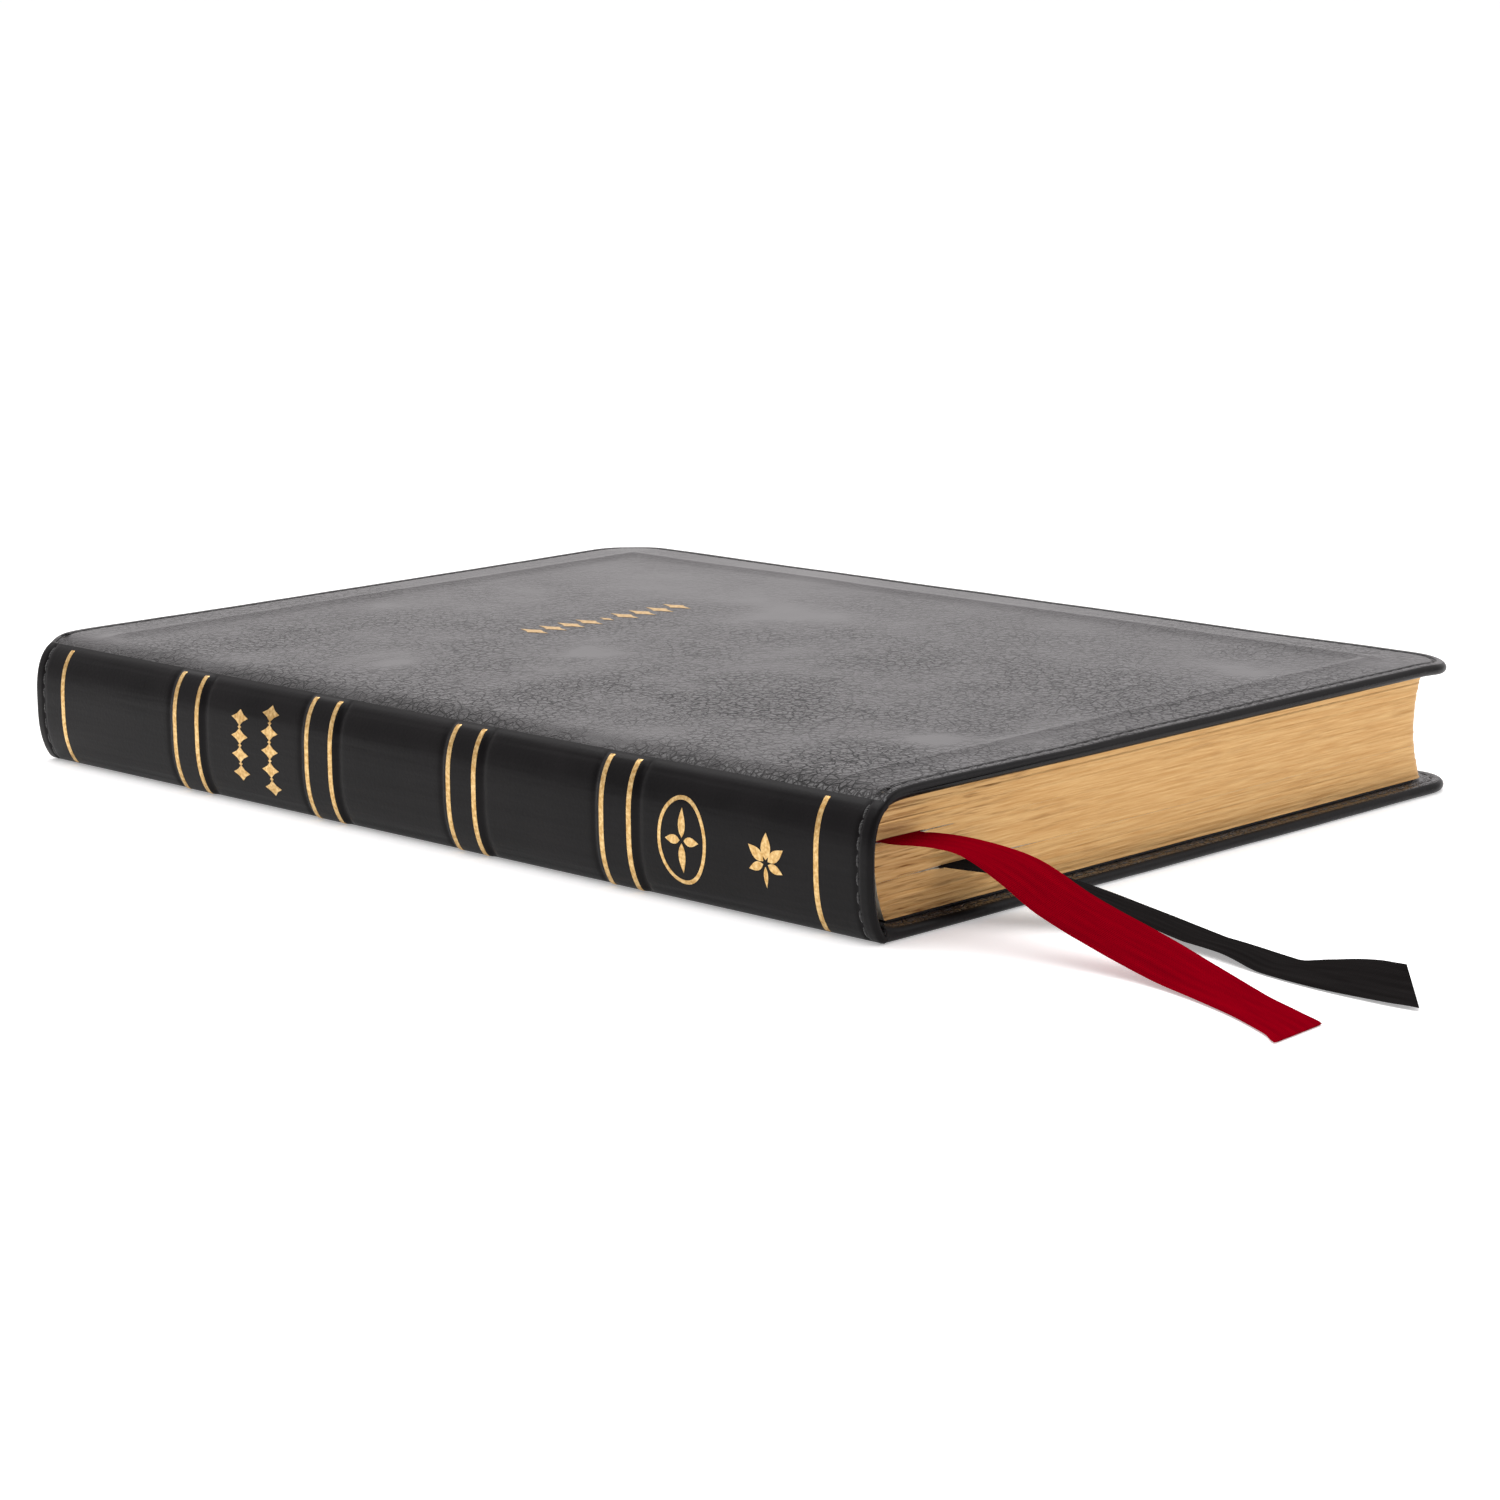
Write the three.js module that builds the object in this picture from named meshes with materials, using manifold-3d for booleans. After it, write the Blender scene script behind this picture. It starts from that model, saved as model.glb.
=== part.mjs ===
// A bible in a soft leather case binding, closed and lying on its back cover, in millimetres.
// x runs from the spine to the fore edge, y from the tail to the head, z from the table up.
// Pieces are laid out from the outer bottom corner of the spine at the tail. The finished
// book is then moved so that the origin is under the middle of its box.

import * as THREE from 'three';
import { mergeVertices } from 'three/addons/utils/BufferGeometryUtils.js';
import Module from 'manifold-3d';

const wasm = await Module();
wasm.setup();

// Overall sizes
const BOOK_WIDTH = 170;        // from the spine corner to the fore edge of the covers
const BOOK_HEIGHT = 235;       // from the tail edge to the head edge of the covers
const BOOK_THICKNESS = 26.5;   // over both covers

// Covers
const COVER_THICKNESS = 2.3;
const OUTER_LEATHER = 0.8;     // leather outside the board
const BOARD_THICKNESS = 0.7;
const PASTEDOWN_THICKNESS = 0.3;
const EDGE_WRAP = 1.8;         // leather between the board's edge and the cover's edge
const TURN_IN = 13;            // leather folded over onto the inside of the board
const COVER_CORNER = 9;        // radius of the covers' two fore corners
const HINGE_GAP = 0.15;        // from each hinge line to the pieces on either side of it

// Stitching, a thread that lies in a groove
const STITCH_INSET = 2.5;      // from the edge to the middle of the thread
const STITCH_WIDTH = 0.6;
const STITCH_DEPTH = 0.35;
const GROOVE_CLEARANCE = 0.1;

// Spine
const SPINE_BULGE = 3;         // how far the spine stands out past its two corners
const SPINE_LEATHER = 0.8;
const INLAY_THICKNESS = 0.5;   // card that stiffens the spine
const BAND_RISE = 0.5;         // height of the raised bands
const BAND_WIDTH = 11;
const BAND_PITCH = 41;
const BAND_COUNT = 4;
const FIRST_BAND = 61;         // from the tail to the middle of the lowest band
const BAND_END = 2.5;          // bare spine above and below each band
const SPINE_EDGE_GAP = 0.3;    // between the spine's long edges and the planes of the covers

// Text block
const TAIL_SQUARE = 4;         // covers stand out past the pages at the tail and the head
const FORE_SQUARE = 6;         // and at the fore edge
const BLOCK_ROUND = 2.5;       // depth of the rounded back and of the hollow fore edge
const BLOCK_BACK = 1.6;        // from the hinge line to the furthest point of the rounded back
const PAGE_CORNER = 7;
const FRONT_SECTIONS = 5;
const MIDDLE_SECTIONS = 5;
const REAR_SECTIONS = 6;
const SHEET_GAP = 0.1;         // between sheets that lie on each other
const FLYLEAF_THICKNESS = 0.3;
const RED_SLIT_SHARE = 0.632;  // height of each ribbon in the closed book, over its thickness
const BLACK_SLIT_SHARE = 0.366;

// Layers on the back of the text block
const THREAD_THICKNESS = 0.4;
const THREAD_WIDTH = 0.8;
const SEWING_STATIONS = 5;
const STATION_MARGIN = 25;     // from the ends of the block to the outer stations
const MULL_THICKNESS = 0.3;
const MULL_MARGIN = 8;         // block left bare above and below the mull
const LINING_THICKNESS = 0.4;
const LINING_MARGIN = 3;
const LAYER_GAP = 0.1;
const HINGE_STRIP_WIDTH = 3;
const HINGE_STRIP_THICKNESS = 0.4;

// Ribbons
const RIBBON_WIDTH = 11;
const RIBBON_THICKNESS = 0.3;
const RIBBON_GAP = 0.25;       // above and below a ribbon between two sections
const RIBBON_JOIN = 0.3;       // between a ribbon's inner stretch and its free tail
const RIBBON_STRAIGHT = 2;     // last stretch of the inner ribbon, square to the tail edge
const RIBBON_HEAD_MARGIN = 6;  // from the head of the block to the glued end
const RED_EXIT = 8;            // from the hinge line to the middle of the ribbon at the tail
const BLACK_EXIT = 24;
const RIBBON_ROOT = 11;        // the same at the head, where it is glued

// How far a cutting body runs past the faces that it cuts
const CUT_PAST = 1;

// Arcs and curves
const ARC_STEPS = 14;
const CORNER_STEPS = 6;
const BLOCK_STEPS = 4;         // slices of the rounded back in one section

const BLOCK_BOTTOM = COVER_THICKNESS + SHEET_GAP + FLYLEAF_THICKNESS + SHEET_GAP;
const BLOCK_TOP = BOOK_THICKNESS - BLOCK_BOTTOM;
const BLOCK_HEIGHT = BLOCK_TOP - BLOCK_BOTTOM;
const BLOCK_HEAD = BOOK_HEIGHT - TAIL_SQUARE;
const MIDDLE = BOOK_THICKNESS / 2;
const RED_SLIT = BOOK_THICKNESS * RED_SLIT_SHARE;
const BLACK_SLIT = BOOK_THICKNESS * BLACK_SLIT_SHARE;
const SLIT_HALF = RIBBON_THICKNESS / 2 + RIBBON_GAP;

// Each free tail, from the slit at the tail edge down to the table. A step is the way along x
// and y from the slit, and the height as a share of the slit's own height.
const RED_TAIL = [
  [0, 0, 1], [0, -1, 1], [0, -2.5, 1.004], [0.9, -5, 1.01], [2.3, -8, 1],
  [3.6, -11.5, 0.975], [4.5, -15, 0.93], [5, -19, 0.865], [5.2, -24, 0.757], [5.7, -30, 0.625],
  [6.4, -36, 0.494], [7.2, -42, 0.369], [7.7, -48, 0.247], [7.7, -54, 0.145], [7.2, -60, 0.07],
  [6, -66, 0.03], [4, -72, 0.018], [1.4, -78, 0.018], [-1.4, -83.6, 0.018],
  [-2.6, -86, 0.018],
];
const BLACK_TAIL = [
  [0, 0, 1], [0, -1, 1], [0.5, -3.5, 1], [1.8, -6, 0.97], [3.8, -9, 0.91], [6.2, -12.5, 0.81],
  [8.7, -16.5, 0.68], [10.8, -21, 0.54], [12.2, -26, 0.4], [13, -31.5, 0.27],
  [13.2, -37, 0.165], [12.8, -43, 0.09], [12, -49, 0.05], [11, -55, 0.04], [10.2, -61, 0.04],
  [9.8, -67, 0.045], [9.6, -73, 0.06], [9.4, -79, 0.1], [9.2, -84.5, 0.15], [9.1, -88, 0.18],
];

// Materials

function material(color, roughness, metalness = 0) {
  return new THREE.MeshStandardMaterial({ color, roughness, metalness });
}

const coverLeather = material(0x332f30, 0.55);
const spineLeather = material(0x2b292a, 0.45);
const board = material(0x8a8074, 0.9);
const endpaper = material(0x1c1a1a, 0.8);
const thread = material(0x1a1818, 0.7);
const giltPaper = material(0xdbb276, 0.4, 0.5);
const cloth = material(0xe4dfd2, 0.9);
const liningPaper = material(0xb59a72, 0.9);
const linenThread = material(0xf0ece0, 0.8);
const redSatin = material(0x8c0014, 0.45);
const blackSatin = material(0x231f20, 0.45);

// Solids and geometries

const book = new THREE.Group();
book.name = 'bible';

function add(name, geometry, finish) {
  const piece = new THREE.Mesh(geometry, finish);
  piece.name = name;
  book.add(piece);
}

function solid(geometry) {
  const bare = geometry.clone();
  bare.deleteAttribute('normal');
  bare.deleteAttribute('uv');
  const merged = mergeVertices(bare, 1e-4);
  return new wasm.Manifold(new wasm.Mesh({
    numProp: 3,
    vertProperties: new Float32Array(merged.attributes.position.array),
    triVerts: new Uint32Array(merged.index.array),
  }));
}

function geometryOf(manifold) {
  const mesh = manifold.getMesh();
  const geometry = new THREE.BufferGeometry();
  geometry.setAttribute('position', new THREE.BufferAttribute(mesh.vertProperties, 3));
  geometry.setIndex(new THREE.BufferAttribute(mesh.triVerts, 1));
  return geometry;
}

function cut(geometry, ...tools) {
  return geometryOf(tools.reduce((body, tool) => body.subtract(solid(tool)), solid(geometry)));
}

function join(...geometries) {
  return geometryOf(geometries.map(solid).reduce((body, other) => body.add(other)));
}

// A flat plate with the outline in x and y, between two heights.
function plate(outline, low, high) {
  const settings = { depth: high - low, bevelEnabled: false, curveSegments: CORNER_STEPS };
  return new THREE.ExtrudeGeometry(outline, settings).translate(0, 0, low);
}

// A bar along y with the outline in x and z, between two places along y.
function bar(outline, tail, head) {
  const settings = { depth: head - tail, bevelEnabled: false };
  return new THREE.ExtrudeGeometry(outline, settings).rotateX(Math.PI / 2).translate(0, head, 0);
}

function shapeThrough(points) {
  return new THREE.Shape(points.map(([u, v]) => new THREE.Vector2(u, v)));
}

// A rectangle whose two corners on the fore side are round.
function coverOutline(left, tail, right, head, radius) {
  const outline = new THREE.Shape();
  outline.moveTo(left, tail);
  outline.lineTo(right - radius, tail);
  outline.absarc(right - radius, tail + radius, radius, -Math.PI / 2, 0);
  outline.lineTo(right, head - radius);
  outline.absarc(right - radius, head - radius, radius, 0, Math.PI / 2);
  outline.lineTo(left, head);
  return outline;
}

function coverInset(inset, spineInset) {
  const radius = Math.max(COVER_CORNER - inset, 1);
  const left = HINGE_GAP + spineInset;
  return coverOutline(left, inset, BOOK_WIDTH - inset, BOOK_HEIGHT - inset, radius);
}

// Covers, drawn lying on the table with the inside up

// The thread runs along the tail, fore and head edges, and stops at the spine.
function threadPath(clearance) {
  const half = STITCH_WIDTH / 2 + clearance;
  const outer = coverInset(STITCH_INSET - half, SHEET_GAP - clearance * 2);
  const inner = coverInset(STITCH_INSET + half, SHEET_GAP - clearance * 2);
  const outerPoints = outer.getPoints(CORNER_STEPS);
  return new THREE.Shape([...outerPoints, ...inner.getPoints(CORNER_STEPS).reverse()]);
}

const BOARD_LOW = OUTER_LEATHER + SHEET_GAP / 2;
const BOARD_HIGH = BOARD_LOW + BOARD_THICKNESS;
const LIP_LOW = BOARD_HIGH + SHEET_GAP / 2;
const PASTEDOWN_LOW = COVER_THICKNESS - PASTEDOWN_THICKNESS;

const coverPieces = {
  skin: cut(
    plate(coverInset(0, 0), 0, COVER_THICKNESS),
    plate(coverInset(EDGE_WRAP, EDGE_WRAP), OUTER_LEATHER, LIP_LOW),
    plate(coverInset(TURN_IN, EDGE_WRAP), OUTER_LEATHER, COVER_THICKNESS + CUT_PAST),
    plate(threadPath(GROOVE_CLEARANCE), -CUT_PAST, STITCH_DEPTH),
  ),
  board: plate(coverInset(EDGE_WRAP + SHEET_GAP, EDGE_WRAP + SHEET_GAP), BOARD_LOW, BOARD_HIGH),
  stitching: plate(threadPath(0), SHEET_GAP / 2, STITCH_DEPTH - SHEET_GAP),
  pastedown: plate(
    coverInset(TURN_IN + SHEET_GAP, EDGE_WRAP + SHEET_GAP), PASTEDOWN_LOW, COVER_THICKNESS,
  ),
};

function turnedOver(geometry) {
  const flipped = geometry.clone();
  flipped.rotateX(Math.PI);
  return flipped.translate(0, BOOK_HEIGHT, BOOK_THICKNESS);
}

add('back_cover_skin', coverPieces.skin, coverLeather);
add('back_cover_board', coverPieces.board, board);
add('back_cover_stitching', coverPieces.stitching, thread);
add('rear_pastedown', coverPieces.pastedown, endpaper);
add('front_cover_skin', turnedOver(coverPieces.skin), coverLeather);
add('front_cover_board', turnedOver(coverPieces.board), board);
add('front_cover_stitching', turnedOver(coverPieces.stitching), thread);
add('front_pastedown', turnedOver(coverPieces.pastedown), endpaper);

// Spine: arcs about one centre, which stands to the fore side of it

const SPINE_CHORD = BOOK_THICKNESS / 2 - SPINE_EDGE_GAP;
const SPINE_RISE = SPINE_BULGE - HINGE_GAP;
const SPINE_RADIUS = (SPINE_CHORD ** 2 + SPINE_RISE ** 2) / (2 * SPINE_RISE);
const SPINE_CENTRE = -SPINE_BULGE + SPINE_RADIUS;
const SPINE_ANGLE = Math.asin(SPINE_CHORD / SPINE_RADIUS);

function arcPoints(radius, halfAngle) {
  const points = [];
  for (let step = 0; step <= ARC_STEPS; step += 1) {
    const turn = halfAngle * (2 * step / ARC_STEPS - 1);
    points.push([SPINE_CENTRE - radius * Math.cos(turn), MIDDLE + radius * Math.sin(turn)]);
  }
  return points;
}

function arcBand(outerRadius, innerRadius, halfAngle) {
  const inner = arcPoints(innerRadius, halfAngle).reverse();
  return shapeThrough([...arcPoints(outerRadius, halfAngle), ...inner]);
}

// The spine's leather ends on the hinge lines, so its inner arc meets them at a smaller angle.
function spineSection(thickness) {
  const innerRadius = SPINE_RADIUS - thickness;
  const innerAngle = Math.acos((SPINE_CENTRE + HINGE_GAP) / innerRadius);
  const inner = arcPoints(innerRadius, innerAngle).reverse();
  return shapeThrough([...arcPoints(SPINE_RADIUS, SPINE_ANGLE), ...inner]);
}

const BAND_ANGLE = Math.asin((SPINE_CHORD - BAND_END) / SPINE_RADIUS);
const STRIP_ANGLE = BAND_ANGLE - SPINE_LEATHER / SPINE_RADIUS;
const BAND_INNER = SPINE_RADIUS - SPINE_LEATHER - BAND_RISE;
const INLAY_RADIUS = SPINE_RADIUS - SPINE_LEATHER - LAYER_GAP;
const INLAY_ANGLE = Math.acos((SPINE_CENTRE + HINGE_GAP) / INLAY_RADIUS) - SPINE_LEATHER / SPINE_RADIUS;
const STITCH_ANGLE = SPINE_ANGLE - 2 * GROOVE_CLEARANCE / SPINE_RADIUS;

const ribs = [];
const pockets = [];
for (let index = 0; index < BAND_COUNT; index += 1) {
  const centre = FIRST_BAND + BAND_PITCH * index;
  const half = BAND_WIDTH / 2;
  const outside = SPINE_RADIUS + BAND_RISE;
  const pocket = half - SPINE_LEATHER;
  ribs.push(bar(arcBand(outside, BAND_INNER + BAND_RISE, BAND_ANGLE), centre - half, centre + half));
  pockets.push(bar(
    arcBand(outside - SPINE_LEATHER, BAND_INNER - CUT_PAST, STRIP_ANGLE), centre - pocket, centre + pocket,
  ));
  const strip = arcBand(
    outside - SPINE_LEATHER - LAYER_GAP, SPINE_RADIUS - SPINE_LEATHER, STRIP_ANGLE - LAYER_GAP / SPINE_RADIUS,
  );
  const end = pocket - LAYER_GAP;
  add(`raised_band_${index + 1}`, bar(strip, centre - end, centre + end), board);
}

function spineGroove(clearance, middle) {
  const half = STITCH_WIDTH / 2 + clearance;
  const ring = arcBand(SPINE_RADIUS + clearance, SPINE_RADIUS - STITCH_DEPTH, SPINE_ANGLE + clearance);
  return bar(ring, middle - half, middle + half);
}

function spineThread(middle) {
  const outer = SPINE_RADIUS - SHEET_GAP;
  const ring = arcBand(outer, SPINE_RADIUS - STITCH_DEPTH + SHEET_GAP, STITCH_ANGLE);
  return bar(ring, middle - STITCH_WIDTH / 2, middle + STITCH_WIDTH / 2);
}

const spineLength = bar(spineSection(SPINE_LEATHER), 0, BOOK_HEIGHT);
add('spine_skin', cut(
  join(spineLength, ...ribs), ...pockets,
  spineGroove(GROOVE_CLEARANCE, STITCH_INSET),
  spineGroove(GROOVE_CLEARANCE, BOOK_HEIGHT - STITCH_INSET),
), spineLeather);
add('spine_inlay', bar(
  arcBand(INLAY_RADIUS, INLAY_RADIUS - INLAY_THICKNESS, INLAY_ANGLE), TAIL_SQUARE, BLOCK_HEAD,
), board);
add('spine_tail_stitching', spineThread(STITCH_INSET), thread);
add('spine_head_stitching', spineThread(BOOK_HEIGHT - STITCH_INSET), thread);

// Text block: its back is rounded, and its fore edge is hollow by as much

function roundingAt(height) {
  const share = (height - MIDDLE) / (BLOCK_HEIGHT / 2);
  return BLOCK_ROUND * share ** 2;
}

function backAt(height) {
  return BLOCK_BACK + roundingAt(height);
}

function foreAt(height) {
  return BOOK_WIDTH - FORE_SQUARE - BLOCK_ROUND + roundingAt(height);
}

// A stretch of the rounded back between two heights, from one distance behind it to another.
function backStrip(low, high, near, far, steps) {
  const points = [];
  for (let step = 0; step <= steps; step += 1) {
    const height = low + (high - low) * step / steps;
    points.push([backAt(height), height]);
  }
  const outer = points.map(([x, z]) => [x - far, z]);
  const inner = points.map(([x, z]) => [x - near, z]).reverse();
  return shapeThrough([...inner, ...outer]);
}

function pageSection(low, high) {
  const heights = [];
  for (let step = 0; step <= BLOCK_STEPS; step += 1) {
    heights.push(low + (high - low) * step / BLOCK_STEPS);
  }
  const back = heights.map((height) => [backAt(height), height]);
  const fore = heights.map((height) => [foreAt(height), height]).reverse();
  const slab = bar(shapeThrough([...fore, ...back]), TAIL_SQUARE, BLOCK_HEAD);
  const right = Math.max(foreAt(low), foreAt(high));
  const outline = coverOutline(
    0, TAIL_SQUARE - CUT_PAST, right, BLOCK_HEAD + CUT_PAST, PAGE_CORNER + CUT_PAST,
  );
  const cutter = plate(outline, low - CUT_PAST, high + CUT_PAST);
  return geometryOf(solid(slab).intersect(solid(cutter)));
}

let sectionNumber = 0;

function addSections(count, top, bottom) {
  const pitch = (top - bottom + SHEET_GAP) / count;
  for (let index = 0; index < count; index += 1) {
    const high = top - pitch * index;
    sectionNumber += 1;
    const name = `section_${String(sectionNumber).padStart(2, '0')}`;
    add(name, pageSection(high - pitch + SHEET_GAP, high), giltPaper);
  }
}

addSections(FRONT_SECTIONS, BLOCK_TOP, RED_SLIT + SLIT_HALF);
addSections(MIDDLE_SECTIONS, RED_SLIT - SLIT_HALF, BLACK_SLIT + SLIT_HALF);
addSections(REAR_SECTIONS, BLACK_SLIT - SLIT_HALF, BLOCK_BOTTOM);

const FLYLEAF_BACK = backAt(BLOCK_TOP) + SHEET_GAP;
const flyleaf = plate(
  coverOutline(FLYLEAF_BACK, TAIL_SQUARE, BOOK_WIDTH - FORE_SQUARE, BLOCK_HEAD, PAGE_CORNER),
  COVER_THICKNESS + SHEET_GAP, COVER_THICKNESS + SHEET_GAP + FLYLEAF_THICKNESS,
);
add('rear_flyleaf', flyleaf, endpaper);
add('front_flyleaf', turnedOver(flyleaf), endpaper);

// Sewing, mull and lining behind the pages that turn with the front cover and behind the rest

const THREAD_NEAR = LAYER_GAP;
const MULL_NEAR = THREAD_NEAR + THREAD_THICKNESS + LAYER_GAP;
const LINING_NEAR = MULL_NEAR + MULL_THICKNESS + LAYER_GAP;

function backLayer(range, near, thickness, margin) {
  const outline = backStrip(range.low, range.high, near, near + thickness, ARC_STEPS);
  return bar(outline, TAIL_SQUARE + margin, BLOCK_HEAD - margin);
}

// Link stitches climb the back at each station, and one run of thread joins the stations.
function sewing(range) {
  const first = TAIL_SQUARE + STATION_MARGIN;
  const last = BLOCK_HEAD - STATION_MARGIN;
  const middle = (range.low + range.high) / 2;
  const half = THREAD_THICKNESS / 2;
  const far = THREAD_NEAR + THREAD_THICKNESS;
  const run = backStrip(middle - half, middle + half, THREAD_NEAR, far, 1);
  const stitches = [bar(run, first, last)];
  for (let station = 0; station < SEWING_STATIONS; station += 1) {
    const place = first + (last - first) * station / (SEWING_STATIONS - 1);
    const climb = backStrip(range.low, range.high, THREAD_NEAR, far, ARC_STEPS);
    stitches.push(bar(climb, place - THREAD_WIDTH / 2, place + THREAD_WIDTH / 2));
  }
  return join(...stitches);
}

const frontRange = { low: RED_SLIT + SLIT_HALF, high: BLOCK_TOP };
const rearRange = { low: BLOCK_BOTTOM, high: RED_SLIT - SLIT_HALF };
for (const [side, range] of [['front', frontRange], ['rear', rearRange]]) {
  add(`${side}_sewing_thread`, sewing(range), linenThread);
  add(`${side}_mull`, backLayer(range, MULL_NEAR, MULL_THICKNESS, MULL_MARGIN), cloth);
  add(`${side}_spine_lining`, backLayer(range, LINING_NEAR, LINING_THICKNESS, LINING_MARGIN), liningPaper);
}

// The flange of the mull that runs out under each cover, beside the hinge
const flange = plate(
  shapeThrough([
    [HINGE_GAP, TAIL_SQUARE + MULL_MARGIN], [HINGE_STRIP_WIDTH, TAIL_SQUARE + MULL_MARGIN],
    [HINGE_STRIP_WIDTH, BLOCK_HEAD - MULL_MARGIN], [HINGE_GAP, BLOCK_HEAD - MULL_MARGIN],
  ]),
  COVER_THICKNESS + SHEET_GAP, COVER_THICKNESS + SHEET_GAP + HINGE_STRIP_THICKNESS,
);
add('rear_hinge_strip', flange, cloth);
add('front_hinge_strip', turnedOver(flange), cloth);

// Ribbons

// A flat ribbon along a list of points, its width level and square to its way.
function ribbon(points) {
  const positions = [];
  const indices = [];
  points.forEach((point, index) => {
    const before = points[Math.max(index - 1, 0)];
    const after = points[Math.min(index + 1, points.length - 1)];
    const along = new THREE.Vector3().subVectors(after, before).normalize();
    const across = new THREE.Vector3(along.y, -along.x, 0).normalize();
    const up = new THREE.Vector3().crossVectors(across, along);
    for (const [side, height] of [[-1, -1], [1, -1], [1, 1], [-1, 1]]) {
      const corner = point.clone()
        .addScaledVector(across, side * RIBBON_WIDTH / 2)
        .addScaledVector(up, height * RIBBON_THICKNESS / 2);
      positions.push(corner.x, corner.y, corner.z);
    }
  });
  for (let step = 0; step < points.length - 1; step += 1) {
    for (let side = 0; side < 4; side += 1) {
      const a = 4 * step + side;
      const b = 4 * step + (side + 1) % 4;
      indices.push(a, b + 4, b, a, a + 4, b + 4);
    }
  }
  const end = 4 * (points.length - 1);
  indices.push(0, 1, 2, 0, 2, 3, end, end + 2, end + 1, end, end + 3, end + 2);
  const geometry = new THREE.BufferGeometry();
  geometry.setAttribute('position', new THREE.Float32BufferAttribute(positions, 3));
  geometry.setIndex(indices);
  return geometry;
}

function innerStretch(exit, slit) {
  const head = BLOCK_HEAD - RIBBON_HEAD_MARGIN;
  return ribbon([
    new THREE.Vector3(RIBBON_ROOT, head, slit),
    new THREE.Vector3(exit, TAIL_SQUARE + RIBBON_STRAIGHT, slit),
    new THREE.Vector3(exit, TAIL_SQUARE + RIBBON_JOIN, slit),
  ]);
}

function freeTail(exit, slit, steps) {
  return ribbon(steps.map(([x, y, share]) => (
    new THREE.Vector3(exit + x, TAIL_SQUARE + y, slit * share)
  )));
}

add('red_ribbon_inner', innerStretch(RED_EXIT, RED_SLIT), redSatin);
add('red_ribbon_tail', freeTail(RED_EXIT, RED_SLIT, RED_TAIL), redSatin);
add('black_ribbon_inner', innerStretch(BLACK_EXIT, BLACK_SLIT), blackSatin);
add('black_ribbon_tail', freeTail(BLACK_EXIT, BLACK_SLIT, BLACK_TAIL), blackSatin);

// The bands make the spine's outermost face
const outermost = -(SPINE_BULGE + BAND_RISE);
book.position.set(-(BOOK_WIDTH + outermost) / 2, -BOOK_HEIGHT / 2, 0);

export default book;
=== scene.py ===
"""The looks of a bible in a soft leather binding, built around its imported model.

Lengths below are in millimetres, measured as in the part's source: x from the spine corner to
the fore edge, y from the tail to the head, z from the table up. at() takes them to the frame.
"""

import math
from functools import partial

import bpy
import numpy as np
from mathutils import Matrix, Vector, noise


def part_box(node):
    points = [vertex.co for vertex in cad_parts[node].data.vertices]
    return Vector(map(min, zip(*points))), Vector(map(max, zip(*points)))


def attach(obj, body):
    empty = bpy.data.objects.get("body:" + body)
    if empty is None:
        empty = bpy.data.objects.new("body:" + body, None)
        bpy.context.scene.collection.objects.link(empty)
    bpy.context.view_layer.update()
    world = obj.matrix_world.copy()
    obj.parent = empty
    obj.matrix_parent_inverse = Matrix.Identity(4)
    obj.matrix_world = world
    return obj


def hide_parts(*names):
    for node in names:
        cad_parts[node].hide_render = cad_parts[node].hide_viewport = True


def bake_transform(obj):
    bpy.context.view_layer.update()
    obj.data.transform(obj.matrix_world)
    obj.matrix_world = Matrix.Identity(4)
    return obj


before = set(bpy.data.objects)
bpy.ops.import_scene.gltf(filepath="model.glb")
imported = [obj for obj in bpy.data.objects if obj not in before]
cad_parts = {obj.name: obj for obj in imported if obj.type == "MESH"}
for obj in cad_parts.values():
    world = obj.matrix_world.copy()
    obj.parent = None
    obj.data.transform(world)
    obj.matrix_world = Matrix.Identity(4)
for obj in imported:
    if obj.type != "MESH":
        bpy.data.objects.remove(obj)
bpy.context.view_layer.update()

MM = 0.001

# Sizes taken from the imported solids
HINGE_GAP = 0.15
COVER_LOW, COVER_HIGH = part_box("front_cover_skin")
HINGE_X = COVER_LOW.x - HINGE_GAP * MM
TAIL_Y = COVER_LOW.y
WIDTH = (COVER_HIGH.x - HINGE_X) / MM
HEIGHT = (COVER_HIGH.y - TAIL_Y) / MM
THICK = COVER_HIGH.z / MM
COVER = (COVER_HIGH.z - COVER_LOW.z) / MM
BLOCK_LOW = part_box("section_16")[0].z / MM
BLOCK_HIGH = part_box("section_01")[1].z / MM
BLOCK_TAIL = (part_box("section_01")[0].y - TAIL_Y) / MM
BLOCK_HEAD = (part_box("section_01")[1].y - TAIL_Y) / MM
BLOCK_FORE = (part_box("section_01")[1].x - HINGE_X) / MM
MIDDLE = THICK / 2


def slit_height(node):
    low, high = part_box(node)
    return (low.z + high.z) / 2 / MM


RED_SLIT = slit_height("red_ribbon_inner")
BLACK_SLIT = slit_height("black_ribbon_inner")


def at(points):
    """Millimetres of the part's source to metres of the frame, for rows of x, y, z."""
    return np.asarray(points, float) * MM + np.array([HINGE_X, TAIL_Y, 0.0])


def place(x, y, z):
    return Vector(at([[x, y, z]])[0])


# Camera: low, off the tail corner of the spine
CAMERA_AT = (-474.7, -430.9, 164.2)
CAMERA_AZIMUTH = math.radians(-45.56)
CAMERA_ELEVATION = math.radians(11.29)
CAMERA_ROLL = math.radians(-0.55)
LENS = 94.2
SHIFT = (0.0087, -0.010)

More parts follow.
